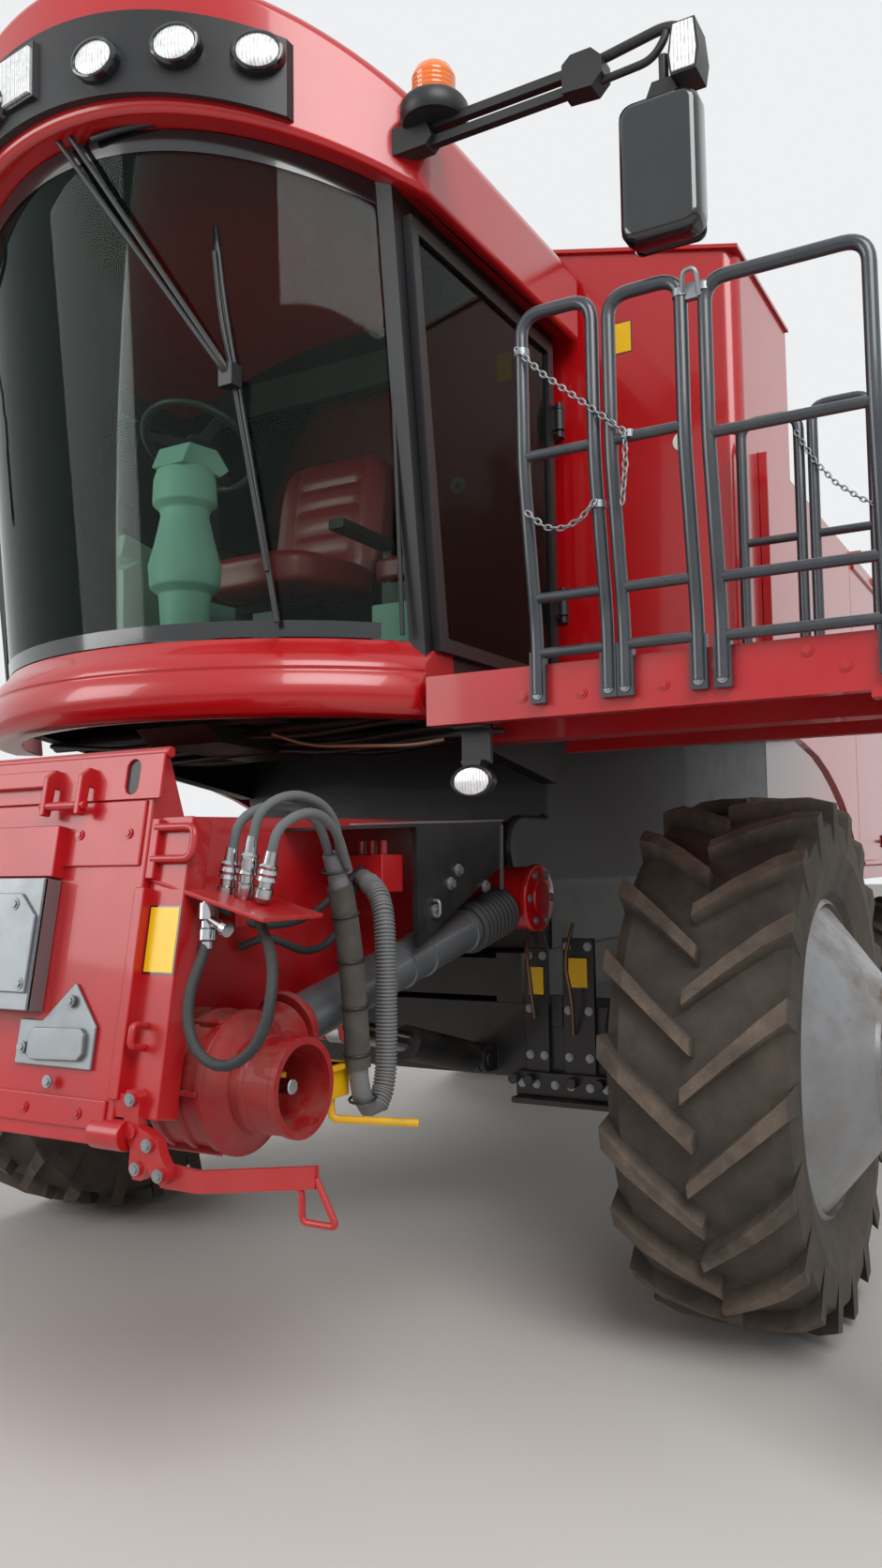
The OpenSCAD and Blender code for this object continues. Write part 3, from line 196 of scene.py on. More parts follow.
# Satin black enamel of the frame: nearly black with grey-brown dust
BLACK_FRAME = coated("satin_black_enamel", "17181A", "101113", "5E554C", 0.36, 0.45, 0.1, patch_mm=110, low=1.2)
# Slate blue-black gloss powder coat of the rails
RAIL_COAT = coated("slate_powder_coat", "30363D", "282D34", "7A7468", 0.25, 0.3, 0.4, patch_mm=60, bump=0.05)
# Moulded ABS, fine leather-like grain
BLACK_PLASTIC = coated("moulded_black_abs", "1B1C1F", "141517", "6B655E", 0.2, 0.42, 0.0, grain_mm=2, bump=0.25)
# Silver enamel of the rims, brownish where wet dust has dried
RIM_SILVER = coated("silver_rim_enamel", "A7A9AC", "8F9194", "7A6552",
    0.75, 0.38, 0.15, 0.55, patch_mm=160, chips="6A4330", low=0.5)
# Hot-dip galvanised sheet: pale grey, dull spangle
GALVANISED = coated("galvanised_sheet", "9EA3A6", "7F8488", "77695C", 0.35, 0.42, 0.0, 0.8, patch_mm=90)
# Ground and chromed rod of a cylinder
GROUND_STEEL = coated("ground_steel", "C3C6C9", "B4B7BA", "776A5E", 0.1, 0.18, 0.0, 1.0)
# Cast iron of the engine, oiled and dull
ENGINE_IRON = coated("oiled_cast_iron", "3A3C40", "2C2E31", "6A5D50", 0.5, 0.6, 0.0, 0.3, grain_mm=4, bump=0.4)
# Grey-green moulded polypropylene of the console
CONSOLE = coated("console_polypropylene", "A6D2C4", "98C6B7", "9CA8A0", 0.1, 0.5, 0.0, grain_mm=2, bump=0.2)
# Moulded clear polycarbonate of the lamps' own solids
LENS_WHITE = coated("lamp_lens_polycarbonate", "D4D8DA", "B9BEC1", "8C8A80", 0.08, 0.12, 0.6, 0.35)
# Moulded polycarbonate with a polished skin: wet-looking black of mirror housings, bezels and printed borders
GLOSS_BLACK = coated("polished_black_polycarbonate", "14171C", "101318", "5E5A54", 0.12, 0.16, 0.7, bump=0.02)
# Moulded lamp lens over its silvered bowl: painted bright reflection in stripes along upright optic ribs 9 mm apart,
# and a hard gloss
LENS_RIBBED = ribbed_lens("ribbed_lamp_polycarbonate")
# Two-layer rubber hose, matt black
HOSE_RUBBER = coated("nitrile_hose_rubber", "26282B", "1D1F22", "6E675E", 0.35, 0.62, 0.0, grain_mm=2, bump=0.5)
# Woven nylon sleeve over pressure hoses: mid grey, matt, fine rib
HOSE_SLEEVE = coated("woven_nylon_sleeve", "6A6E70", "585C5E", "7F766A", 0.3, 0.7, 0.0, grain_mm=2.5, bump=0.8)
# Corrugated polyamide conduit, weathered grey
CONDUIT = coated("polyamide_conduit", "77797A", "66686A", "80766A", 0.35, 0.55, 0.0, grain_mm=3, bump=0.4)
# Cotton cloth tape round the bundle, soaked with oil and dust
CLOTH_TAPE = coated("cotton_cloth_tape", "4C4945", "3C3A37", "7A6E60",
    0.6, 0.85, 0.0, grain_mm=3, bump=1.0, patch_mm=40)
# Galvanised and grey-lacquered guard tube, scuffed along its length
SHAFT_GREY = coated("grey_lacquered_tube", "6F7478", "5C6165", "6E655C", 0.3, 0.34, 0.2, 0.4, patch_mm=90)
# Moulded chloroprene bellows
BELLOWS = coated("chloroprene_bellows", "2A2C2E", "202224", "6A645C", 0.3, 0.5, 0.0, grain_mm=3, bump=0.3)
# Moulded red polycarbonate of the rear lamps
RED_LENS = coated("red_lamp_polycarbonate", "C01014", "A00C10", "8C6A60", 0.05, 0.12, 0.8, grain_mm=6, bump=0.4)
# Yellow enamel of the lock and the yoke, and vinyl film of the blank plates
YELLOW = coated("yellow_enamel", "E8B400", "D6A200", "8A7348", 0.25, 0.4, 0.2, patch_mm=50, chips="5A4A30")
YELLOW_FILM = coated("yellow_vinyl_film", "F2C500", "EABA00", "9A8450", 0.2, 0.35, 0.2, patch_mm=40)
WHITE_FILM = coated("white_vinyl_film", "E4E2DC", "D8D6D0", "8C8478", 0.15, 0.4, 0.1, patch_mm=40)
# Drawn copper-nickel pipe, browned
COPPER_PIPE = coated("copper_nickel_pipe", "8A6A52", "745844", "6A6058", 0.3, 0.4, 0.0, 0.8)
# Ribbed rubber of the cab's floor
FLOOR_MAT = coated("rubber_floor_mat", "4A4E4C", "404442", "7A766C", 0.3, 0.75, 0.0, grain_mm=5, bump=0.6)


def tyre_rubber(name, centre, tread_r):
    """Moulded natural rubber: near black walls, dry earth rubbed on to the lugs; rings follow the wheel's centre."""
    material, tree, place = finish_named(name)
    from_centre = add(tree, "ShaderNodeVectorMath", {0: place, 1: centre}, operation="SUBTRACT")
    flat = add(tree, "ShaderNodeVectorMath", {0: from_centre, 1: (0, 1, 1)}, operation="MULTIPLY")
    radius = add(tree, "ShaderNodeVectorMath", {0: flat}, operation="LENGTH")
    on_lugs = add(tree, "ShaderNodeMapRange", {
        "Value": radius.outputs["Value"], "From Min": tread_r - 0.004,
        "From Max": tread_r + 0.04, "To Min": 0.38, "To Max": 1.0})
    earth = add(tree, "ShaderNodeTexNoise", {"Vector": place, "Scale": 7.0, "Detail": 9.0, "Roughness": 0.68})
    fine = add(tree, "ShaderNodeTexNoise", {"Vector": place, "Scale": 260.0, "Detail": 5.0})
    cover = add(tree, "ShaderNodeMapRange", {
        "Value": earth, "From Min": 0.30, "From Max": 0.68, "To Min": 0.12, "To Max": 0.95})
    mask = add(tree, "ShaderNodeMath", {0: cover, 1: on_lugs}, operation="MULTIPLY", use_clamp=True)
    mould = blended(tree, fine, linear("2C2A28"), linear("3B3835"))
    soil = blended(tree, fine, linear("6E6055"), linear("8B7A69"))
    relief = add(tree, "ShaderNodeBump", {"Height": fine, "Strength": 0.35, "Distance": 0.002})
    shader = add(tree, "ShaderNodeBsdfPrincipled", {
        "Base Color": blended(tree, mask, mould, soil), "Roughness": 0.82, "Normal": relief})
    add(tree, "ShaderNodeOutputMaterial", {"Surface": shader})
    return material


def safety_glass(name, tint, see_through):
    """Tinted laminated glass: tinted see-through, with a mirror's gloss that grows towards its edge."""
    material, tree, _ = finish_named(name)
    gloss = add(tree, "ShaderNodeFresnel", {"IOR": 1.52})
    share = add(tree, "ShaderNodeMapRange", {"Value": gloss, "To Min": 1 - see_through, "To Max": 1.0})
    clear = add(tree, "ShaderNodeBsdfTransparent", {"Color": linear(tint)})
    shiny = add(tree, "ShaderNodeBsdfPrincipled", {
        "Base Color": linear("1D2A24"), "Roughness": 0.02, "IOR": 1.52,
        "Coat Weight": 1.0, "Coat Roughness": 0.02})
    mix = add(tree, "ShaderNodeMixShader", {0: share, 1: clear, 2: shiny})
    add(tree, "ShaderNodeOutputMaterial", {"Surface": mix})
    return material


GLASS = safety_glass("green_tinted_safety_glass", "F1FAF5", 0.97)
# Amber moulded polycarbonate, half clear
AMBER = coated("amber_polycarbonate", "F07A12", "D95F08", "8C6A48", 0.05, 0.12, 0.8, bump=0.3, grain_mm=6)
# Silvered mirror glass
MIRROR = coated("silvered_mirror_glass", "D6DADC", "D0D4D6", "8C8A80", 0.03, 0.03, 0.0, 1.0, bump=0.0)
# Dark red hide on the seats, drum-dyed, fine pebble
LEATHER = coated("dark_red_leather", "93202A", "7C161E", "9A8578", 0.06, 0.4, 0.15, grain_mm=3, bump=0.5)
RUBBER_FRONT = {side: tyre_rubber("front_tyre_rubber_" + side, at(sign * 1.465, 0, 0.84), 0.79)
    for side, sign in (("left", 1), ("right", -1))}
RUBBER_REAR = {side: tyre_rubber("rear_tyre_rubber_" + side, at(sign * 1.42, 3.65, 0.62), 0.585)
    for side, sign in (("left", 1), ("right", -1))}

SLOT_FINISH = {
    "frame_paint": BLACK_FRAME, "red_paint": RED, "red_cast": RED_CAST, "rim_silver": RIM_SILVER,
    "bright_steel": GROUND_STEEL, "black_plastic": BLACK_PLASTIC, "screen_glass": GLASS,
    "seat_leather": LEATHER, "console_plastic": CONSOLE, "rail_paint": RAIL_COAT, "galvanised": GALVANISED,
    "engine_cast": ENGINE_IRON, "lamp_lens": LENS_WHITE, "beacon_amber": AMBER, "mirror_silver": MIRROR,
}
# Slots of the materials that only the scene's own pieces have
SLOTS_BESIDE = {
    "red_paint": (RED_WORN, YELLOW, YELLOW_FILM), "galvanised": (SHAFT_GREY,), "bright_steel": (COPPER_PIPE,),
    "lamp_lens": (LENS_RIBBED, RED_LENS, WHITE_FILM),
    "black_plastic": (GLOSS_BLACK, HOSE_RUBBER, HOSE_SLEEVE, CONDUIT, CLOTH_TAPE, BELLOWS, FLOOR_MAT),
}
SLOT_OF_FINISH = {finish.name: slot for slot, finish in SLOT_FINISH.items()}
SLOT_OF_FINISH.update({finish.name: slot for slot, group in SLOTS_BESIDE.items() for finish in group})
NODE_FINISH = {
    "tyre_front_left": RUBBER_FRONT["left"], "tyre_front_right": RUBBER_FRONT["right"],
    "tyre_rear_left": RUBBER_REAR["left"], "tyre_rear_right": RUBBER_REAR["right"],
    "feeder_channel": RED_WORN, "feeder_plate": RED_WORN, "platform": RED_WORN, "lock_lever": RED_WORN,
    "coupler_bracket": RED_WORN, "thresher_body": BLACK_FRAME, "beacons": AMBER,
}


def finish_of(node):
    return NODE_FINISH.get(node) or SLOT_FINISH[SLOT_OF[node]]


for name, solid in NODES.items():
    solid.data.materials.clear()
    solid.data.materials.append(finish_of(name))


# Making pieces
def piece_from(mesh, name, material, body):
    """A piece at the origin that rides on a body."""
    made = bpy.data.objects.new(name, mesh)
    bpy.context.scene.collection.objects.link(made)
    mesh.materials.clear()
    mesh.materials.append(material)
    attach(made, body)
    return made


def plain_mesh(work):
    """The evaluated mesh of a working object, which is then removed."""
    bpy.context.view_layer.update()
    graph = bpy.context.evaluated_depsgraph_get()
    mesh = bpy.data.meshes.new_from_object(work.evaluated_get(graph))
    bpy.data.objects.remove(work)
    return mesh


def softened(node, width_mm, segments=3, corner=28):
    """A solid's own shape with its edges rounded, as pressed and folded sheet has them."""
    mesh = NODES[node].data.copy()
    form = bmesh.new()
    form.from_mesh(mesh)
    bmesh.ops.remove_doubles(form, verts=form.verts, dist=0.00002)
    bmesh.ops.dissolve_limit(form, angle_limit=math.radians(0.7), verts=form.verts, edges=form.edges)
    form.to_mesh(mesh)
    form.free()
    work = bpy.data.objects.new("work", mesh)
    bpy.context.scene.collection.objects.link(work)
    rounding = work.modifiers.new("rounding", "BEVEL")
    rounding.width = width_mm / 1000
    rounding.segments = segments
    rounding.limit_method = "ANGLE"
    rounding.angle_limit = math.radians(corner)
    rounding.miter_outer = "MITER_ARC"
    mesh.shade_smooth()
    level = work.modifiers.new("level", "WEIGHTED_NORMAL")
    level.weight = 100
    result = plain_mesh(work)
    made = piece_from(result, node + "_rounded", finish_of(node), BODY_OF[node])
    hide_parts(node)
    return made


# Rounding in millimetres of each solid's edges
ROUNDED = {
    "cab_roof": 45, "grain_tank": 12, "tank_cover_left": 5, "tank_cover_right": 5,
    "wheel_arch_panels": 9, "side_door_left": 12, "side_door_right": 12, "engine_hood": 40, "straw_hood": 14,
    "rear_hatch": 8, "platform": 6, "feeder_channel": 7, "thresher_body": 14,
    "front_axle": 12, "frame_rails": 6, "lamp_panel": 9, "engine_block": 20,
}
for node, width in ROUNDED.items():
    softened(node, width)


# Drawing: millimetres, y from the front axle, until finished() puts the form in its place
TO_METRES = Matrix.Translation((0, AXLE, 0)) @ Matrix.Scale(0.001, 4)
# The feeder's leaning face: x across, y behind it, z up along it from its lower edge
PLATE = Matrix.Translation((0, -2115, 900)) @ Matrix.Rotation(math.radians(-10.18), 4, "X")


def ring(count, radius, shift=0.0):
    """Points (u, v) round a circle; a shift of 0.5 puts a flat side first."""
    angles = [math.tau * (k + shift) / count for k in range(count)]
    return [(radius * math.cos(a), radius * math.sin(a)) for a in angles]


def skinned(form, loops, turn=None, closed=False):
    """Loops of points joined one to the next: the last to the first where closed, and else both ends capped."""
    loops = [[form.verts.new(turn @ Vector(p) if turn else p) for p in loop] for loop in loops]
    for a, b in zip(loops, loops[1:] + ([loops[0]] if closed else [])):
        for i in range(len(a)):
            form.faces.new((a[i - 1], a[i], b[i], b[i - 1]))
    if not closed:
        form.faces.new(loops[0])
        form.faces.new(loops[-1])


def prism(form, outline, axis, low, high, turn=None):
    """An outline pushed from low to high: (y, z) points along x, (x, z) along y, (x, y) along z."""
    order = {"x": (2, 0, 1), "y": (0, 2, 1), "z": (0, 1, 2)}[axis]
    skinned(form, [[[(a, b, level)[i] for i in order] for a, b in outline] for level in (low, high)], turn)


def to_side(side):
    """Nothing for the left, 1, and the mirror image for the right, -1."""
    return Matrix.Scale(side, 4, (1, 0, 0))


def block(form, low, high, turn=None):
    """A block between two corners."""
    prism(form, ((low[0], low[1]), (high[0], low[1]), (high[0], high[1]), (low[0], high[1])),
        "z", low[2], high[2], turn)


def turned(form, start, end, rows, sides=28, turn=None, closed=False):
    """A body of revolution about the line from start to end; rows are (distance from start, radius)."""
    start = Vector(start)
    ahead = (Vector(end) - start).normalized()
    side = ahead.orthogonal().normalized()
    over = ahead.cross(side)
    circles = [[start + ahead * along + side * u + over * v for u, v in ring(sides, radius)]
        for along, radius in rows]
    skinned(form, circles, turn, closed)


def rod(form, start, end, radius, sides=20, turn=None):
    """A straight round bar."""
    length = (Vector(end) - Vector(start)).length
    turned(form, start, end, ((0, radius), (length, radius)), sides, turn)


def rounded_path(points, bend, steps=5):
    """The points with each inner corner turned into a short curve."""
    points = [Vector(p) for p in points]
    line = [points[0]]
    for before, corner, after in zip(points, points[1:], points[2:]):
        arms = [arm - corner for arm in (before, after)]
        a, b = [corner + arm.normalized() * min(bend, arm.length * 0.49) for arm in arms]
        for step in range(steps + 1):
            t = step / steps
            line.append(a * (1 - t) ** 2 + corner * 2 * t * (1 - t) + b * t * t)
    return line + [points[-1]]


def swept(form, line, radius, sides=12, turn=None):
    """A round bar along a line of points."""
    line = [Vector(p) for p in line]
    side = (line[1] - line[0]).orthogonal().normalized()
    circles = []
    for i, spot in enumerate(line):
        tangent = (line[min(i + 1, len(line) - 1)] - line[max(i - 1, 0)]).normalized()
        side = (side - tangent * side.dot(tangent)).normalized()
        over = tangent.cross(side)
        circles.append([spot + side * u + over * v for u, v in ring(sides, radius)])
    skinned(form, circles, turn)


def bent(form, points, bend, radius, sides=12, turn=None, steps=5):
    """A round bar along points, with its corners bent."""
    swept(form, rounded_path(points, bend, steps), radius, sides, turn)


def mesh_of(form, name, both=False):
    """The drawn form as a mesh in metres, mirrored to both sides if asked."""
    if both:
        copy = bmesh.ops.duplicate(form, geom=form.verts[:] + form.edges[:] + form.faces[:])
        for item in copy["geom"]:
            if isinstance(item, bmesh.types.BMVert):
                item.co.x = -item.co.x
    bmesh.ops.recalc_face_normals(form, faces=form.faces)
    form.transform(TO_METRES)
    mesh = bpy.data.meshes.new(name)
    form.to_mesh(mesh)
    form.free()
    mesh.shade_smooth()
    mesh.set_sharp_from_angle(angle=math.radians(34))
    return mesh


def finished(form, name, material, body="chassis", stands_for=(), rounding=0.0,
        both=False, cut=None):
    """The drawn form as a piece in its place: cut with another form and its edges rounded in mm, if asked."""
    mesh = mesh_of(form, name, both)
    if rounding or cut:
        work = bpy.data.objects.new("work", mesh)
        bpy.context.scene.collection.objects.link(work)
        if cut:
            cutter = bpy.data.objects.new("cutter", mesh_of(cut, "cutter", both))
            bpy.context.scene.collection.objects.link(cutter)
            opening = work.modifiers.new("opening", "BOOLEAN")
            opening.operation = "DIFFERENCE"
            opening.object = cutter
        if rounding:
            edge = work.modifiers.new("edge", "BEVEL")
            edge.width = rounding / 1000
            edge.segments = 2
            edge.limit_method = "ANGLE"
            edge.angle_limit = math.radians(35)
            level = work.modifiers.new("level", "WEIGHTED_NORMAL")
            level.weight = 100
        mesh = plain_mesh(work)
        if cut:
            bpy.data.objects.remove(cutter)
    made = piece_from(mesh, name, material, body)
    if stands_for:
        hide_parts(*stands_for)
    return made


# Geometry Nodes: bolt heads on marked points, and links or ribs along a line
def sized_tree(name, sizes):
    """An empty tree with named sizes and a material as its inputs."""
    tree = bpy.data.node_groups.new(name, "GeometryNodeTree")
    tree.interface.new_socket("Geometry", in_out="INPUT", socket_type="NodeSocketGeometry")
    for size in sizes:
        tree.interface.new_socket(size, in_out="INPUT", socket_type="NodeSocketFloat")
    tree.interface.new_socket("Material", in_out="INPUT", socket_type="NodeSocketMaterial")
    tree.interface.new_socket("Geometry", in_out="OUTPUT", socket_type="NodeSocketGeometry")
    return tree, add(tree, "NodeGroupInput").outputs


def closed_tree(tree, instances, material):
    """Ends a tree: real geometry with its material."""
    real = add(tree, "GeometryNodeRealizeInstances", {"Geometry": instances})
    coat = add(tree, "GeometryNodeSetMaterial", {"Geometry": real, "Material": material})
    add(tree, "NodeGroupOutput", {"Geometry": coat})
    return tree


def slat_tree():
    """A bar of the given sizes on each point."""
    tree, given = sized_tree("grille_slats", ("Length X", "Length Y", "Length Z"))
    size = add(tree, "ShaderNodeCombineXYZ", {
        "X": given["Length X"], "Y": given["Length Y"], "Z": given["Length Z"]})
    slat = add(tree, "GeometryNodeMeshCube", {"Size": size})
    spots = add(tree, "GeometryNodeInstanceOnPoints", {"Points": given["Geometry"], "Instance": slat})
    return closed_tree(tree, spots, given["Material"])


def bolt_tree():
    """A six-sided head on its washer at each point, turned the way the point faces."""
    tree, given = sized_tree("bolt_heads", ("Head radius", "Head height"))
    head = add(tree, "GeometryNodeMeshCylinder", {
        "Vertices": 6, "Radius": given["Head radius"], "Depth": given["Head height"]})
    wide = add(tree, "ShaderNodeMath", {0: given["Head radius"], 1: 1.5}, operation="MULTIPLY")
    thin = add(tree, "ShaderNodeMath", {0: given["Head height"], 1: 0.4}, operation="MULTIPLY")
    washer = add(tree, "GeometryNodeMeshCylinder", {"Vertices": 16, "Radius": wide, "Depth": thin})
    bolt = add(tree, "GeometryNodeJoinGeometry")
    for part in (head, washer):
        tree.links.new(part.outputs["Mesh"], bolt.inputs["Geometry"])
    facing = add(tree, "GeometryNodeInputNamedAttribute", {"Name": "facing"}, data_type="FLOAT_VECTOR")
    turn = add(tree, "FunctionNodeAlignRotationToVector", {"Vector": facing}, axis="Z")
    spots = add(tree, "GeometryNodeInstanceOnPoints", {
        "Points": given["Geometry"], "Instance": bolt, "Rotation": turn})
    return closed_tree(tree, spots, given["Material"])


def link_tree():
    """Rings along a line: every second one turned by Turn, lying along the line where Upright is a quarter turn."""
    tree, given = sized_tree("links_and_ribs", (
        "Half width", "Half length", "Wire", "Spacing", "Turn", "Upright"))
    circle = add(tree, "GeometryNodeCurvePrimitiveCircle", {"Resolution": 12, "Radius": 1.0}, mode="RADIUS")
    spread = add(tree, "ShaderNodeCombineXYZ", {"X": given["Half width"], "Y": given["Half length"], "Z": 1.0})
    tilt = add(tree, "ShaderNodeCombineXYZ", {"X": given["Upright"]})
    shape = add(tree, "GeometryNodeTransform", {"Geometry": circle, "Rotation": tilt, "Scale": spread})
    wire = add(tree, "GeometryNodeCurvePrimitiveCircle", {
        "Resolution": 6, "Radius": given["Wire"]}, mode="RADIUS")
    link = add(tree, "GeometryNodeCurveToMesh", {"Curve": shape, "Profile Curve": wire})
    line = add(tree, "GeometryNodeMeshToCurve", {"Mesh": given["Geometry"]})
    even = add(tree, "GeometryNodeResampleCurve", {"Curve": line, "Length": given["Spacing"]}, mode="LENGTH")
    tangent = add(tree, "GeometryNodeInputTangent")
    along = add(tree, "FunctionNodeAlignRotationToVector", {"Vector": tangent}, axis="Z")
    spots = add(tree, "GeometryNodeInstanceOnPoints", {"Points": even, "Instance": link, "Rotation": along})
    parity = add(tree, "ShaderNodeMath", {0: add(tree, "GeometryNodeInputIndex"), 1: 2.0}, operation="MODULO")
    quarter = add(tree, "ShaderNodeMath", {0: parity, 1: given["Turn"]}, operation="MULTIPLY")
    twist = add(tree, "ShaderNodeCombineXYZ", {"Z": quarter})
    crossed = add(tree, "GeometryNodeRotateInstances", {"Instances": spots, "Rotation": twist})
    return closed_tree(tree, crossed, given["Material"])


BOLT_TREE = bolt_tree()
LINK_TREE = link_tree()
SLAT_TREE = slat_tree()


def grown(tree, name, body, places, sizes, material, joined=False, facing=None):
    """What a tree makes on points, or along the line that joins them; its sizes are given in mm."""
    mesh = bpy.data.meshes.new(name)
    edges = [(i, i + 1) for i in range(len(places) - 1)] if joined else []
    mesh.from_pydata([TO_METRES @ Vector(p) for p in places], edges, [])
    if facing:
        marks = mesh.attributes.new("facing", "FLOAT_VECTOR", "POINT")
        for mark in marks.data:
            mark.vector = facing
    work = bpy.data.objects.new("work", mesh)
    bpy.context.scene.collection.objects.link(work)
    modifier = work.modifiers.new(tree.name, "NODES")
    modifier.node_group = tree
    for item in tree.interface.items_tree:
        if item.in_out == "INPUT" and item.name in sizes:
            modifier[item.identifier] = sizes[item.name] / (1 if item.name in ("Turn", "Upright") else 1000)
        elif item.in_out == "INPUT" and item.name == "Material":
            modifier[item.identifier] = material
    made = piece_from(plain_mesh(work), name, material, body)
    return made


def bolts(name, body, places, facing, radius, material=GALVANISED, turn=None):
    """Bolt heads with washers at places, all facing one way."""
    if turn:
        places = [turn @ Vector(p) for p in places]
        facing = turn.to_3x3() @ Vector(facing)
    grown(BOLT_TREE, name, body, places, {"Head radius": radius, "Head height": radius * 1.3},
        material, facing=facing)


def slats(name, body, places, size, material):
    """Bars of one size in mm, with their middles at places."""
    grown(SLAT_TREE, name, body, places, {"Length " + axis: length for axis, length in zip("XYZ", size)},
        material)


def ringed(name, body, line, half_width, half_length, wire, spacing, material, linked=True):
    """Chain links, or the ribs of a conduit, along a line of points."""
    quarter = math.pi / 2 if linked else 0.0
    sizes = {"Half width": half_width, "Half length": half_length, "Wire": wire,
        "Spacing": spacing, "Turn": quarter, "Upright": quarter}
    return grown(LINK_TREE, name, body, line, sizes, material, joined=True)


# The feeder's hoses: each is held at both ends, so none lies loose on the ground
def hose_line(points, count=30):
    """A smooth line of evenly spaced points."""
    line = rounded_path(points, 400, 8)
    for _ in range(2):
        inner = [a * 0.25 + b * 0.5 + c * 0.25 for a, b, c in zip(line, line[1:], line[2:])]
        line = [line[0]] + inner + [line[-1]]
    steps = [0.0]
    for a, b in zip(line, line[1:]):
        steps.append(steps[-1] + (b - a).length)
    even = []
    for k in range(count):
        goal = steps[-1] * k / (count - 1)
        i = max(j for j in range(len(steps) - 1) if steps[j] <= goal + 1e-6)
        part = (goal - steps[i]) / max(steps[i + 1] - steps[i], 1e-9)
        even.append(line[i].lerp(line[i + 1], min(part, 1.0)))
    return even


# Columns: name, radius, points
HOSES = (
    ("drain_loop_hose", 12, ((880, -1900, 1378), (886, -1905, 1345), (950, -1950, 1300), (1010, -2020, 1235),
        (1000, -2045, 1120), (905, -2050, 1060), (815, -2045, 1100), (788, -2030, 1200),
        (797, -1978, 1300), (788, -1940, 1382))),
    ("pressure_hose_low", 11, ((783, -1900, 1396), (807, -1900, 1518), (824, -1900, 1580),
        (875, -1845, 1615), (912, -1725, 1590), (890, -1640, 1470))),
    ("pressure_hose_middle", 11, ((835, -1900, 1396), (864, -1900, 1543),
        (880, -1898, 1600), (918, -1820, 1640), (940, -1700, 1600), (915, -1635, 1470))),
    ("pressure_hose_high", 11, ((885, -1900, 1396), (915, -1900, 1506), (928, -1898, 1560),
        (958, -1815, 1600), (958, -1720, 1560), (925, -1625, 1460))),
    ("channel_hose", 10, ((652, -1690, 1280), (712, -1650, 1310), (735, -1530, 1250),
        (742, -1400, 1290), (745, -1325, 1425))),
    ("channel_hose_upper", 9, ((652, -1800, 1395), (700, -1720, 1330), (725, -1540, 1330),
        (735, -1420, 1390), (765, -1325, 1465))),
)
BUNDLE = ((900, -1655, 1500), (900, -1610, 1390), (900, -1575, 1230), (900, -1556, 1040), (900, -1550, 925),
    (900, -1492, 868), (900, -1432, 925), (900, -1425, 1060), (900, -1425, 1290),
    (870, -1395, 1400), (775, -1335, 1440))


def hose(name, points, radius, material):
    """A hose held at both ends, as a mesh tube along its own line."""
    line = hose_line(points)
    form = bmesh.new()
    swept(form, line, radius, 14)
    made = finished(form, name, material, "feeder")
    return line


def coupling(name, base, tip):
    """A screwed steel coupling on a hose's own line."""
    form = bmesh.new()
    span = (Vector(tip) - Vector(base)).length
    turned(form, base, tip, ((0, 13), (span * 0.08, 20), (span * 0.26, 20), (span * 0.28, 16),
        (span * 0.4, 16), (span * 0.42, 22), (span * 0.5, 19), (span * 0.56, 22),
        (span * 0.64, 19), (span * 0.7, 22), (span * 0.75, 15), (span, 13)), 24)
    return finished(form, name, GROUND_STEEL, "feeder")


def ball_valve():
    form = bmesh.new()
    turned(form, (788, -1958, 1404), (796, -1974, 1300), ((0, 16), (8, 16),
        (10, 23), (44, 23), (48, 17), (62, 17), (66, 20), (88, 20), (92, 14), (106, 13)), 24)
    rod(form, (789, -1965, 1366), (861, -1985, 1342), 11)
    turned(form, (851, -1984, 1346), (866, -1986, 1341), ((0, 16), (15, 16)), 18)
    return finished(form, "ball_valve", GROUND_STEEL, "feeder")


COUPLINGS = {
    "pressure_hose_low": ((784, -1900, 1400), (806, -1900, 1516)),
    "pressure_hose_middle": ((836, -1900, 1400), (861, -1900, 1540)),
    "pressure_hose_high": ((886, -1900, 1398), (914, -1900, 1506)),
}


def hoses():
    for name, radius, points in HOSES:
        fittings = ()
        if name in COUPLINGS:
            fittings = (coupling(name + "_coupling", *COUPLINGS[name]),)
        elif name == "drain_loop_hose":
            fittings = (ball_valve(),)
        hose(name, points, radius, HOSE_SLEEVE if "pressure" in name else HOSE_RUBBER)
    bundle_line = hose_line(BUNDLE, 34)
    cloth = bmesh.new()
    swept(cloth, bundle_line[2:14], 31, 16)
    wrap = finished(cloth, "bundle_cloth_wrap", CLOTH_TAPE, "feeder")
    ribs = ringed("conduit_ribs", "feeder", bundle_line[17:33], 25, 25, 3.2, 9, CONDUIT, linked=False)
    bands = ringed("bundle_ties", "feeder", bundle_line[1:16], 33, 33, 3.5, 95, BLACK_PLASTIC, linked=False)
    hose("tied_hose_bundle", BUNDLE, 24, CONDUIT)


# Feeder's front: pressed sheet with a slotted flange, its ledges and clevises
SLOT_X, SLOT_Z = 592, 788


def flange_slot(side):
    """The outline of the long hole near the flange's end."""
    return [(side * SLOT_X + u, SLOT_Z + v + (20 if v > 0 else -20)) for u, v in ring(20, 20, 0.5)]


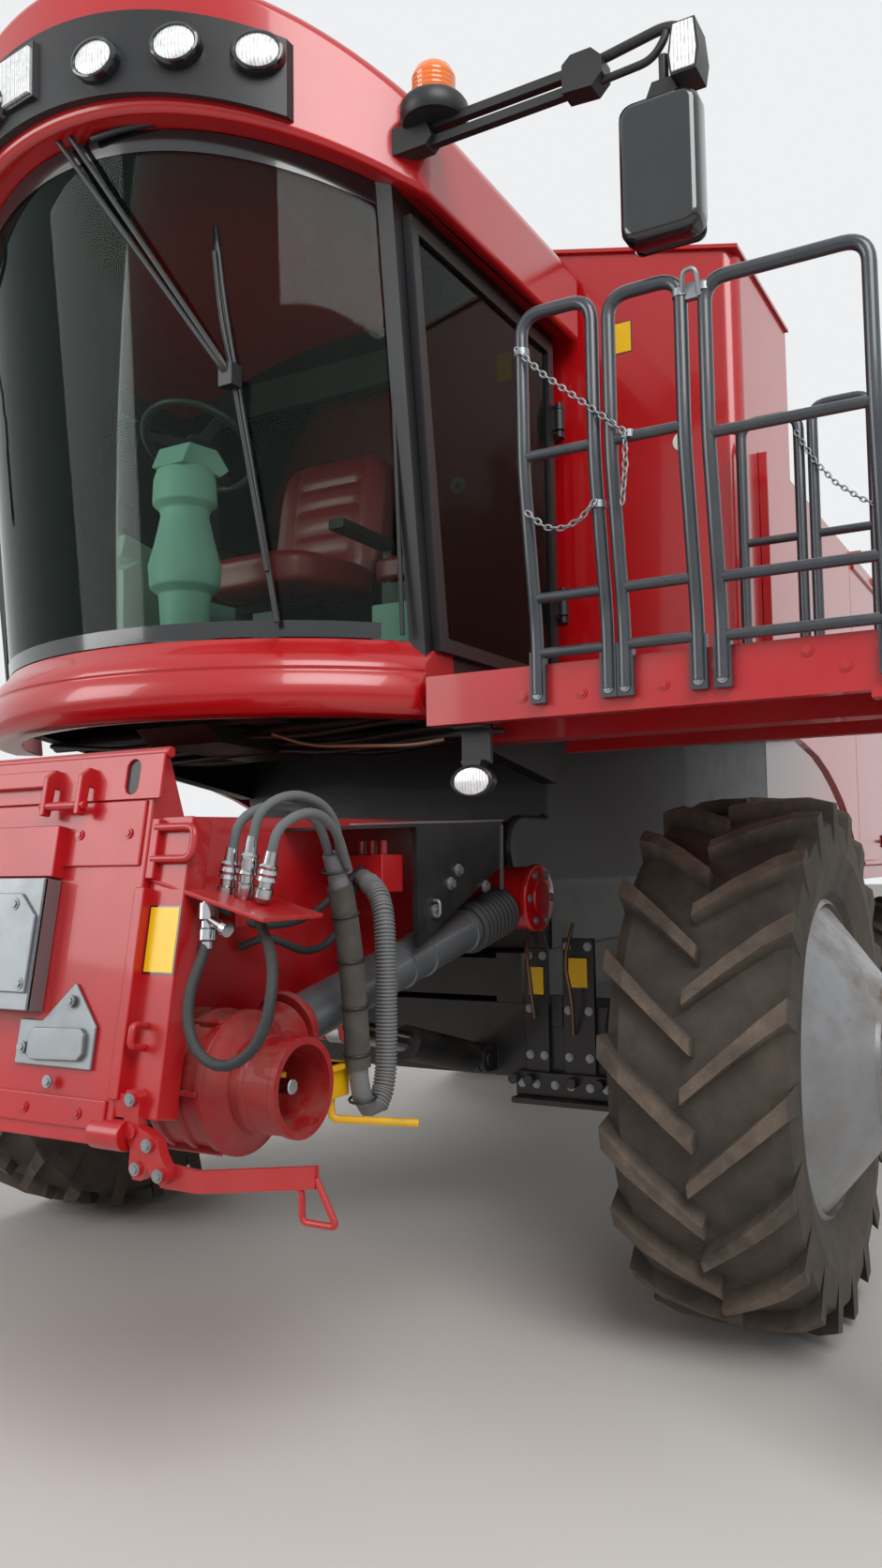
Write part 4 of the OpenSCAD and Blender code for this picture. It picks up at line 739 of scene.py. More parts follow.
def feeder_front():
    form = bmesh.new()
    prism(form, ((-1965, 1735), (-2115, 900), (-2026, 900), (-1885, 1590), (-1935, 1735)), "x", -655, 655)
    finished(form, "feeder_front_sheet", RED_WORN, "feeder", ("feeder_plate",), 4)
    form = bmesh.new()
    block(form, (-680, -9, 737), (680, -0.5, 838), PLATE)
    cut = bmesh.new()
    for side in (-1, 1):
        prism(cut, flange_slot(side), "y", -30, 30, PLATE)
    finished(form, "feeder_slotted_flange", RED_WORN, "feeder", rounding=2, cut=cut)
    form = bmesh.new()
    for side in (-1, 1):
        wider = [(x * 1.04 - side * 23.7, SLOT_Z + (z - SLOT_Z) * 1.04) for x, z in flange_slot(side)]
        prism(form, wider, "y", -2, -0.2, PLATE)
    finished(form, "flange_slot_shadow", BLACK_FRAME, "feeder")
    form = bmesh.new()
    rod(form, (-680, 12, 845), (680, 12, 845), 13, turn=PLATE)
    for low, high in (((-640, -6, 587), (640, 1, 735)), ((-352, -26, 772), (352, 1, 812)),
            ((-636, -7, 30), (636, 1, 92)), ((-150, -12, 300), (150, 1, 560))):
        block(form, low, high, PLATE)
    finished(form, "feeder_front_ledges", RED_WORN, "feeder", rounding=4)
    form = bmesh.new()
    for x in (352, 462):
        prism(form, ((8, 810), (8, 768), (-20, 768), (-24, 700), (-48, 700), (-48, 790), (-26, 812)),
            "x", x, x + 14, PLATE)
    rod(form, (345, -36, 722), (485, -36, 722), 10, turn=PLATE)
    block(form, (172, -34, 560), (410, 1, 678), PLATE)
    rod(form, (600, 14, 26), (690, 14, 26), 32, turn=PLATE)
    block(form, (655, 20, 62), (757, 84, 700), PLATE)
    block(form, (640, 4, 560), (676, 40, 694), PLATE)
    block(form, (640, -8, 96), (668, 40, 540), PLATE)
    bent(form, ((662, 10, 674), (776, 10, 674), (776, 10, 604), (662, 10, 604)), 24, 9, turn=PLATE)
    bent(form, ((700, 20, 250), (700, -22, 250), (700, -22, 205), (700, 20, 205)), 14, 8, turn=PLATE)
    finished(form, "feeder_side_posts", RED_WORN, "feeder", rounding=3, both=True)
    form = bmesh.new()
    block(form, (222, -48, 262), (408, -38, 556), PLATE)
    for x in (222, 400):
        block(form, (x, -48, 262), (x + 8, -0.5, 556), PLATE)
    prism(form, ((232, 300), (398, 300), (398, 470), (345, 520), (232, 520)), "y", -56, -47, PLATE)
    prism(form, ((350, 149), (582, 149), (582, 240), (505, 330), (420, 246), (350, 246)), "y", -10, -0.5, PLATE)
    prism(form, ((395, 172), (410, 160), (550, 166), (563, 180), (561, 222),
        (548, 235), (408, 230), (395, 216)), "y", -22, -9, PLATE)
    finished(form, "header_catch_plates", GALVANISED, "feeder", rounding=3, both=True)
    low = [(s * x, -18, z) for s in (-1, 1) for x, z in ((470, 118), (505, 290), (375, 185))]
    high = [(s * x, -56, z) for s in (-1, 1) for x, z in ((250, 320), (380, 320), (250, 495), (330, 495))]
    bolts("catch_bolts", "feeder", low + high, (0, -1, 0), 9, turn=PLATE)
    bolts("front_sheet_bolts", "feeder", [(x, -8, 660) for x in range(-600, 601, 150)]
        + [(x, -9, 60) for x in range(-560, 561, 160)], (0, -1, 0), 8, RED_WORN, turn=PLATE)


def on_drive(x):
    """A point on the header drive's axis."""
    return (x, -1850, 1000)


# Header drive: banded drum, open round guard with the splined stub and its yellow yoke, cast elbow
def header_drive():
    form = bmesh.new()
    turned(form, on_drive(640), on_drive(1000), ((0, 150), (16, 150), (18, 158), (34, 158), (36, 150),
        (80, 150), (82, 158), (98, 158), (100, 150), (146, 150), (148, 158),
        (166, 158), (170, 142), (196, 110), (200, 100)), 48)
    turned(form, (735, -1790, 1030), (750, -1632, 1088), ((0, 78), (60, 80), (160, 74)), 28)
    turned(form, (748, -1640, 1086), (750, -1598, 1096), ((0, 88), (20, 88), (24, 76), (42, 70)), 28)
    for k in range(6):
        around = Matrix.Translation(on_drive(0)) @ Matrix.Rotation(math.tau * (k + 0.5) / 6, 4, "X")
        block(form, (650, -5, 146), (800, 5, 164), around)
    finished(form, "header_drive_drum", RED_CAST, "feeder", ("header_drive",), 2)
    form = bmesh.new()
    turned(form, on_drive(800), on_drive(1000), ((0, 101), (20, 104), (60, 104), (64, 108), (74, 108),
        (78, 104), (140, 104), (144, 108), (160, 108), (160, 92), (20, 90), (16, 20), (0, 20)), 48, closed=True)
    block(form, (905, -1862, 1098), (935, -1838, 1116))
    finished(form, "drive_round_guard", RED_CAST, "feeder")
    form = bmesh.new()
    turned(form, on_drive(812), on_drive(1000), ((0, 24), (60, 24), (64, 17.5), (116, 17.5), (118, 15)), 24)
    finished(form, "header_drive_stub", GROUND_STEEL, "feeder")
    form = bmesh.new()
    turned(form, on_drive(818), on_drive(1000), ((0, 44), (26, 46), (34, 40), (48, 30)), 24)
    for side in (-1, 1):
        block(form, (838, -1850 + side * 34 - 9, 978), (880, -1850 + side * 34 + 9, 1022))
    finished(form, "drive_yoke", YELLOW, "feeder", rounding=3)


def drive_shaft_guard():
    a, b = Vector((750, -1600, 1095)), Vector((800, -560, 1330))
    rows = [(0, 62)]
    for share in (0.33, 0.42, 0.52, 0.74):
        near, far = share * (b - a).length, (share + 0.012) * (b - a).length
        rows += [(near, 62), (near + 1, 66), (far, 66), (far + 1, 62)]
    form = bmesh.new()
    turned(form, a, b, rows + [((b - a).length - 5, 62)], 36)
    finished(form, "drive_shaft_guard", SHAFT_GREY, "feeder", ("drive_guard",))
    rows = []
    for i in range(9):
        near = (0.77 + 0.022 * i) * (b - a).length
        rows += [(near, 68), (near + 8, 79), (near + 15, 79), (near + 23, 68)]
    form = bmesh.new()
    turned(form, a, b, rows, 36)
    finished(form, "drive_shaft_bellows", BELLOWS, "feeder")
    form = bmesh.new()
    turned(form, (640, -500, 1360), (1000, -500, 1360), ((0, 100), (238, 100),
        (240, 108), (256, 108), (262, 100), (264, 60), (270, 56), (271, 30)), 48)
    finished(form, "drive_end_housing", RED, "feeder", rounding=2)
    circle = [(903, -500 + u, 1360 + v) for u, v in ring(6, 82)]
    bolts("end_housing_bolts", "feeder", circle, (1, 0, 0), 9)


def feeder_fittings():
    """The couplings' tilted bracket, the valve block, the control box's bosses and the lock's handle."""
    form = bmesh.new()
    prism(form, ((640, 1452), (660, 1452), (970, 1368), (968, 1358), (660, 1442), (640, 1442)),
        "y", -2000, -1790)
    prism(form, ((640, 1400), (655, 1400), (655, 1490), (640, 1490)), "y", -1990, -1800)
    finished(form, "coupler_tilted_bracket", RED_WORN, "feeder", ("coupler_bracket",), 2)
    form = bmesh.new()
    block(form, (700, -1320, 1400), (825, -1215, 1500))
    for x in (728, 762, 796):
        rod(form, (x, -1270, 1498), (x, -1270, 1540), 13, 6)
    block(form, (655, -1760, 1330), (700, -1700, 1440))
    finished(form, "valve_block", RED_WORN, "feeder", rounding=4)
    form = bmesh.new()
    for y, z in ((-974, 1454), (-1019, 1417), (-1107, 1344), (-807, 1404)):
        turned(form, (860, y, z), (900, y, z), ((0, 19), (5, 19), (7, 12), (14, 12)), 20)
    bent(form, ((861, -1115, 1330), (880, -1115, 1330), (880, -1115, 1372), (861, -1115, 1372)), 12, 5)
    block(form, (858, -700, 1392), (866, -690, 1590))
    prism(form, ((-1500, 1572), (-680, 1602), (-680, 1606), (-1500, 1576)), "x", 846, 864)
    finished(form, "control_box_bosses", GALVANISED, "feeder")
    form = bmesh.new()
    prism(form, ((-1630, 925), (-1545, 925), (-1545, 985), (-1560, 1003), (-1630, 1003)), "x", 800, 868)
    prism(form, ((-1640, 990), (-1535, 990), (-1535, 1003), (-1640, 1003)), "x", 770, 880)
    bent(form, ((845, -1590, 930), (845, -1590, 874), (1035, -1500, 864)), 20, 10)
    finished(form, "drive_lock_handle", YELLOW, "feeder", rounding=3)


def lock_lever():
    form = bmesh.new()
    prism(form, ((684, 1005), (692, 1018), (716, 1018), (726, 1005), (722, 945), (748, 936), (774, 922),
        (782, 895), (800, 868), (800, 846), (784, 834), (762, 842), (748, 866),
        (730, 838), (708, 838), (696, 856), (700, 900), (682, 930)), "y", -2100, -2074)
    for x, z in ((706, 1000), (703, 935), (752, 912), (720, 862), (782, 855)):
        rod(form, (x, -2106, z), (x, -2070, z), 15)
    prism(form, ((760, 822), (860, 822), (1148, 866), (1148, 908), (860, 866), (760, 872)), "y", -2076, -2062)
    bent(form, ((1065, -2068, 884), (1112, -2068, 858), (1112, -2068, 800),
        (1192, -2068, 800), (1146, -2068, 884)), 14, 7)
    block(form, (655, -2098, 960), (700, -2060, 1008))
    finished(form, "header_lock_lever", RED_WORN, "feeder", ("lock_lever",), 3)
    bolts("lever_bolts", "feeder", ((706, -2107, 1000), (752, -2107, 912),
        (720, -2107, 862), (782, -2107, 855)), (0, -1, 0), 9)


# Lamps: bezels, bright ribbed lenses, light bar, beacons
def on_brow(angle, z, radius):
    """The brow's surface at an angle from the nose: x along it, y up, z outwards."""
    turn = math.radians(angle)
    place = Matrix.Translation((radius * math.sin(turn), CAB_CENTRE - radius * math.cos(turn), z))
    return place @ Matrix.Rotation(turn, 4, "Z") @ Matrix.Rotation(math.pi / 2, 4, "X")


def roof_lights():
    bezels, lenses = bmesh.new(), bmesh.new()
    wide = Matrix.Diagonal((1.25, 1, 1, 1))
    for side in (1, -1):
        flip = to_side(side)
        for angle, z in ((9.6, 3645), (20.6, 3640), (30.8, 3605)):
            spot = flip @ on_brow(angle, z, 1212) @ wide
            turned(bezels, (0, 0, 0), (0, 0, 1), ((-6, 60), (34, 58),
                (42, 54), (44, 49), (36, 45), (10, 43), (10, 20), (-6, 20)), 40, spot, True)
            turned(lenses, (0, 0, 0), (0, 0, 1), ((33, 46), (39, 45), (44, 36), (47, 20), (48, 1)), 40, spot)
    bar_place = on_brow(-5.4, 3690, 1199)
    block(bezels, (-107, -80, 0), (107, 80, 40), bar_place)
    for k in range(10):
        block(lenses, (-95 + k * 19, -66, 40), (-78 + k * 19, 66, 48), bar_place)
    finished(bezels, "lamp_bezels", GLOSS_BLACK)
    finished(lenses, "lamp_lenses", LENS_RIBBED, "chassis", ("roof_lamps",))
    bases, domes = bmesh.new(), bmesh.new()
    for x in (1004, -1004):
        up = ((x, -1300, 3440), (x, -1300, 3700))
        turned(bases, *up, ((0, 60), (4, 84), (18, 92), (48, 92), (60, 84), (66, 62), (70, 60)), 40)
        rows = [(62, 58)]
        for k in range(5):
            rows += [(68 + k * 13, 57), (73 + k * 13, 59), (78 + k * 13, 59)]
        turned(domes, *up, rows + [(136, 57), (152, 50), (166, 34), (172, 14), (173, 1)], 36)
    finished(bases, "beacon_bases", BLACK_PLASTIC)
    finished(domes, "beacon_domes", AMBER, "chassis", ("beacons",))


def mirror_arms():
    """Twin square tubes, clamp box, looped tubes, the lamp at the arm's end and the deep housing."""
    arms, heads, lamps = bmesh.new(), bmesh.new(), bmesh.new()
    for side, head_x in ((1, 1628), (-1, 2115)):
        flip = to_side(side)
        clamp_x = head_x - 228
        for z in (3395, 3440):
            block(arms, (905, -1312, z - 12), (clamp_x + 2, -1288, z + 12), flip)
        prism(arms, ((880, 3380), (990, 3380), (1010, 3400), (990, 3455), (880, 3455)), "y", -1328, -1272, flip)
        prism(arms, ((clamp_x - 14, 3378), (clamp_x + 64, 3372), (clamp_x + 92, 3400), (clamp_x + 92, 3440),
            (clamp_x + 64, 3470), (clamp_x + 10, 3470), (clamp_x - 14, 3450)), "y", -1330, -1270, flip)
        bent(arms, ((clamp_x + 80, -1300, 3450), (head_x + 20, -1300, 3472),
            (head_x + 66, -1300, 3450), (head_x + 66, -1300, 3400)), 34, 13, turn=flip)
        bent(arms, ((clamp_x + 80, -1300, 3395), (head_x - 20, -1300, 3400),
            (head_x + 14, -1300, 3440), (head_x + 20, -1300, 3466)), 30, 10, turn=flip)
        rod(arms, (head_x + 10, -1300, 3400), (head_x + 10, -1300, 3280), 12, turn=flip)
        prism(arms, ((head_x - 34, 3282), (head_x + 54, 3282), (head_x + 34, 3330), (head_x - 14, 3330)),
            "y", -1322, -1278, flip)
        outline = []
        for cx, cz, quarter in ((60, 3250, 0), (-60, 3250, 1), (-60, 2983, 2), (60, 2983, 3)):
            for k in range(7):
                angle = math.pi / 2 * (quarter + k / 6)
                outline.append((head_x + cx + 40 * math.cos(angle), cz + 40 * math.sin(angle)))
        prism(heads, outline, "y", -1345, -1256, flip)
        prism(lamps, ((head_x + 44, 3318), (head_x + 98, 3318), (head_x + 104, 3360),
            (head_x + 98, 3432), (head_x + 50, 3432), (head_x + 40, 3360)), "y", -1352, -1346, flip)
        prism(arms, ((head_x + 40, 3312), (head_x + 102, 3312), (head_x + 110, 3360),
            (head_x + 102, 3438), (head_x + 46, 3438), (head_x + 34, 3360)), "y", -1347, -1262, flip)
    finished(arms, "mirror_arms", BLACK_PLASTIC, "chassis", ("mirrors",), 3)
    finished(heads, "mirror_housings", GLOSS_BLACK, rounding=24)
    finished(lamps, "arm_end_lamps", LENS_RIBBED, rounding=2)


# Guard rails: upright, leaning out over the steps' height, upright again, on flat feet bolted to the beam
RAIL_Y = -1207.3
REAR_RAIL_Y = -225


def rail_at(x, z):
    """A point of a front rail, which leans 60 mm out above the floor."""
    return (x, RAIL_Y - 60 * min(1, max(0, (z - 2060) / 405)), z)


def guard_rails():
    front, feet = bmesh.new(), []
    for x0, x1, top, bars in ((1232, 1424, 2870, (2500, 2145, 2005)),
            (1468, 1652, 2862, (2500, 2145, 2005)), (1710, 2080, 2840, (2470, 2138, 2000))):
        bent(front, [rail_at(x0, 1900), rail_at(x0, 2060), rail_at(x0, 2465), rail_at(x0, top),
            rail_at(x1, top), rail_at(x1, 2465), rail_at(x1, 2060), rail_at(x1, 1900)],
            58, 17, sides=16, steps=7)
        for z in bars:
            rod(front, rail_at(x0, z), rail_at(x1, z), 13.5)
        for x in (x0, x1):
            block(front, (x - 21, -1212, 1878), (x + 21, -1190.5, 2010))
            feet += [(x, -1213, 1900), (x, -1213, 1936)]
    finished(front, "front_guard_rails", RAIL_COAT, "chassis", ("front_rails",))
    bolts("rail_foot_bolts", "chassis", feet, (0, -1, 0), 8.5)
    rear = bmesh.new()
    for x0, x1, top in ((1517, 1698, 2870), (1740, 1917, 2888), (1945, 2076, 2898)):
        bent(rear, ((x0, REAR_RAIL_Y, 1980), (x0, REAR_RAIL_Y, top),
            (x1, REAR_RAIL_Y, top), (x1, REAR_RAIL_Y, 1980)), 52, 17, sides=16, steps=7)
        for z in (2110, 2480):
            rod(rear, (x0, REAR_RAIL_Y, z), (x1, REAR_RAIL_Y, z), 13.5)
        for x in (x0, x1):
            turned(rear, (x, REAR_RAIL_Y, 1980), (x, REAR_RAIL_Y, 2000), ((0, 32), (9, 32), (12, 20)), 20)
    finished(rear, "rear_guard_rails", RAIL_COAT, "chassis", ("rear_rails",))
    steel = bmesh.new()
    for x, z in ((1232, 2773), (1513, 2504), (1424, 2350), (1710, 2820), (1652, 2820)):
        spot = rail_at(x, z)
        turned(steel, (x, spot[1], z - 9), (x, spot[1], z + 9), ((0, 20), (18, 20)), 16)
    block(steel, (1650, -1276, 2800), (1712, -1258, 2838))
    bent(steel, ((1660, -1280, 2815), (1668, -1300, 2860), (1700, -1300, 2860), (1702, -1280, 2800)), 20, 6)
    finished(steel, "chain_clamps", GALVANISED)
    # Columns: name, line of points with its sag
    chains = (
        ("long_guard_chain", ((1232, -1290, 2773), (1300, -1290, 2696), (1371, -1290, 2632),
            (1445, -1290, 2566), (1513, -1290, 2504), (1510, -1286, 2420), (1500, -1284, 2340))),
        ("short_guard_chain", ((1245, -1272, 2352), (1290, -1272, 2310), (1340, -1272, 2300),
            (1385, -1272, 2316), (1420, -1272, 2350))),
        ("rear_guard_chain", ((1698, -246, 2800), (1750, -246, 2700), (1810, -246, 2622),
            (1880, -246, 2562), (1917, -246, 2540))),
    )
    for name, line in chains:
        ringed(name, "chassis", line, 6.5, 11.5, 2.4, 17, GALVANISED)


# Cowl under the glass: one rolled moulding round the screen, cut square at the cab's sides
def cowl():
    form = bmesh.new()
    profile = ((962, 1882), (1020, 1876), (1050, 1884), (1068, 1906), (1075, 1940), (1072, 1972), (1060, 1996),
        (1056, 2004), (1060, 2010), (1054, 2032), (1036, 2056), (1014, 2078), (1003, 2098), (972, 2099))
    loops = []
    for k in range(65):
        angles = [(-1 + k / 32) * math.asin(CAB_HALF / radius) for radius, _ in profile]
        loops.append([(radius * math.sin(a), CAB_CENTRE - radius * math.cos(a), z)
            for a, (radius, z) in zip(angles, profile)])
    skinned(form, loops)
    finished(form, "screen_cowl", RED, "chassis", ("cab_base",), 4)


# Wheels' bolts and hubs, and what the sides and the back carry
def running_gear_details():
    for side, word in ((1, "left"), (-1, "right")):
        # Columns: axle, y, height, face, bolt circle, number of bolts, their radius
        for axle, y, z, face, circle, count, radius in (("front", 0, 840, 1870, 204, 12, 15),
                ("rear", 3650, 620, 1550, 156, 8, 12)):
            spots = [(side * face, y + u, z + v) for u, v in ring(count, circle)]
            body = "wheel_" + axle + "_" + word
            bolts("rim_bolts_" + axle + "_" + word, body, spots, (side, 0, 0), radius)
            form = bmesh.new()
            turned(form, (side * (face + 20), y, z), (side * (face + 200), y, z),
                ((0, circle - 52), (14, circle - 54), (22, circle - 70),
                (24, circle - 110), (34, circle - 116), (38, 12)), 36)
            finished(form, "hub_cap_" + axle + "_" + word, RIM_SILVER, body)


def side_and_rear_details():
    for side, word in ((1, "left"), (-1, "right")):
        form = bmesh.new()
        for low, high in ((1430, 1462), (2120, 2152), (2790, 2822)):
            prism(form, ((1530, low), (1541, low + 9), (1541, high - 9), (1530, high)),
                "y", 1620, 4190, to_side(side))
        finished(form, "side_door_ribs_" + word, RED, "side_door_" + word, rounding=3)
        form = bmesh.new()
        flip = to_side(side)
        for y in (2150, 3650):
            block(form, (1530, y, 1520), (1538, y + 150, 1580), flip)
            bent(form, ((1536, y + 20, 1550), (1562, y + 20, 1550), (1562, y + 130, 1550),
                (1536, y + 130, 1550)), 16, 8, turn=flip)
        finished(form, "side_door_handles_" + word, BLACK_PLASTIC, "side_door_" + word, rounding=2)
    slats("hood_side_grilles", "engine_hood", [(s * 1106, y, 2560 + 36 * k)
        for s in (1, -1) for y in (3050, 4250) for k in range(12)], (10, 620, 16), BLACK_FRAME)
    slats("hood_rear_grille", "engine_hood", [(0, 4902, 2500 + 34 * k) for k in range(12)],
        (1500, 10, 15), BLACK_FRAME)
    form = bmesh.new()
    for radius in (375, 345):
        rows = ((0, radius), (22, radius), (22, radius - 16), (0, radius - 16))
        turned(form, (-1104, 3650, 2830), (-1300, 3650, 2830), rows, 56, closed=True)
    for k in range(6):
        spoke = Matrix.Translation((-1116, 3650, 2830)) @ Matrix.Rotation(math.tau * k / 6, 4, "X")
        block(form, (-4, -6, 20), (4, 6, 345), spoke)
    turned(form, (-1104, 3650, 2830), (-1300, 3650, 2830), ((0, 48), (26, 48), (32, 36)), 28)
    finished(form, "cooling_air_screen", BLACK_PLASTIC, "engine_hood", rounding=1.5)
    low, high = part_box("rear_hatch")
    back = 1000 * (high[1] - AXLE)
    bottom = 1000 * low[2]
    form, lenses = bmesh.new(), bmesh.new()
    for side in (1, -1):
        flip = to_side(side)
        block(form, (480, back - 30, bottom + 60), (640, back + 3, bottom + 150), flip)
        block(lenses, (486, back + 2, bottom + 66), (560, back + 6, bottom + 144), flip)
    finished(form, "rear_lamp_boards", BLACK_PLASTIC, "rear_hatch", rounding=3)
    finished(lenses, "rear_lamp_lenses", RED_LENS, "rear_hatch", rounding=2)


# Glass border, gutter tube, wipers and the marker wedges beside the screen
def screen_point(angle, z, out):
    """A point out mm before the glass, which widens from 1000 to 1110 mm with height."""
    radius = 1000 + 110 * (z - 2100) / 1400 + out
    return (radius * math.sin(angle), CAB_CENTRE - radius * math.cos(angle), z)


def ceiling_at(x):
    """The height of the cab's ceiling."""
    return CEILING_TOP - CEILING_R + math.sqrt(CEILING_R ** 2 - x ** 2)


def screen_trim():
    form = bmesh.new()
    steps = 48
    reach = math.asin(790 / 1060)
    for low, high, top in ((2101, 2146, False), (-62, -4, True)):
        section = ((low, 0.6), (high, 0.6), (high, 2.2), (low, 2.2))
        loops = []
        for k in range(steps + 1):
            angle = -reach + 2 * reach * k / steps
            base = ceiling_at(1100 * math.sin(angle)) if top else 0
            loops.append([screen_point(angle, base + z, out) for z, out in section])
        skinned(form, loops)
    finished(form, "screen_printed_border", GLOSS_BLACK)
    form = bmesh.new()
    for side in (1, -1):
        flip = to_side(side)
        prism(form, ((745, 3420), (858, 3318), (862, 3275), (748, 3345)), "y", -1160, -1138, flip)
        bent(form, ((800, -1160, 2110), (803, -1195, 2700), (806, -1226, 3200), (800, -1262, 3400)),
            60, 7, turn=flip)
    bent(form, ((96, -1646, 3512), (221, -1628, 3518), (427, -1566, 3515),
        (592, -1482, 3491), (710, -1399, 3445), (814, -1304, 3385)), 80, 10)
    finished(form, "screen_seal_and_gutter", BLACK_PLASTIC, rounding=2)
    form = bmesh.new()
    for shift, pivot in ((-54, -1662), (-7, -1660)):
        turned(form, (shift, pivot, 3560), (shift, pivot, 3604), ((0, 15), (44, 15)), 16)
        bent(form, ((shift, pivot, 3585), (shift + 20, pivot - 10, 3560),
            (505 + shift * 0.3, -1560, 2800), (497, -1535, 2770)), 40, 8)
    block(form, (474, -1556, 2750), (520, -1512, 2812))
    bent(form, ((427, -1508, 3224), (449, -1500, 3001), (496, -1476, 2682), (571, -1430, 2125)), 200, 9)
    bent(form, ((433, -1522, 3150), (470, -1540, 2950), (500, -1525, 2780),
        (520, -1490, 2560), (558, -1456, 2260)), 90, 7)
    bent(form, ((-420, -1566, 3430), (-460, -1568, 3380), (-520, -1530, 3330), (-600, -1490, 3320)), 40, 8)
    finished(form, "wiper", BLACK_PLASTIC, rounding=1.5)


# Cab inside: stuffed leather seats, console, column and wheel
def cushion(form, size, place, lean, channels, crown):
    """A stuffed pad: a block with swelling faces, sides pulled in between its corners, and sewn channels."""
    pad = bmesh.new()
    bmesh.ops.create_cube(pad, size=2)
    bmesh.ops.subdivide_edges(pad, edges=pad.edges, cuts=30, use_grid_fill=True)
    turn = Matrix.Translation(place) @ Matrix.Rotation(math.radians(lean), 4, "X")
    for vert in pad.verts:
        u, v, w = vert.co
        reach = (abs(u) ** 5 + abs(v) ** 5 + abs(w) ** 5) ** 0.2
        u, v, w = u / reach, v / reach, w / reach
        pulled = 1 - 0.05 * (1 - u * u) * (1 - w * w)
        swell = 1 + crown * (1 - u * u) * (1 - v * v)
        seam = sum(math.exp(-((v - c) / 0.045) ** 2) for c in channels)
        side_seam = sum(math.exp(-((u - c) / 0.04) ** 2) for c in (-0.62, 0.62)) * (abs(v) < 0.93)
        depth = 1 - 0.16 * min(seam * (abs(u) < 0.62) + side_seam, 1)
        vert.co = turn @ Vector((u * size[0] / 2, v * pulled * size[1] / 2, w * swell * depth * size[2] / 2))
    mesh = bpy.data.meshes.new("pad")
    pad.to_mesh(mesh)
    pad.free()
    form.from_mesh(mesh)
    bpy.data.meshes.remove(mesh)


# Columns: name, size, place, lean in degrees, channels, crown
CUSHIONS = (
    ("driver_seat_cushion", (500, 520, 130), (0, -640, 2470), 4, (-0.35, 0.1, 0.5), 0.35),
    ("driver_seat_back", (480, 560, 120), (0, -330, 2735), 80, (-0.5, -0.15, 0.2, 0.55), 0.35),
    ("second_seat_cushion", (310, 340, 90), (545, -535, 2455), 3, (0.0,), 0.3),
    ("second_seat_back", (320, 420, 80), (545, -330, 2640), 80, (-0.35, 0.25), 0.35),
)


def cushions():
    for name, size, place, lean, channels, crown in CUSHIONS:
        form = bmesh.new()
        cushion(form, size, place, lean, channels, crown)
        stands_for = ("seats",) if name == "driver_seat_cushion" else ()
        finished(form, name, LEATHER, "chassis", stands_for)


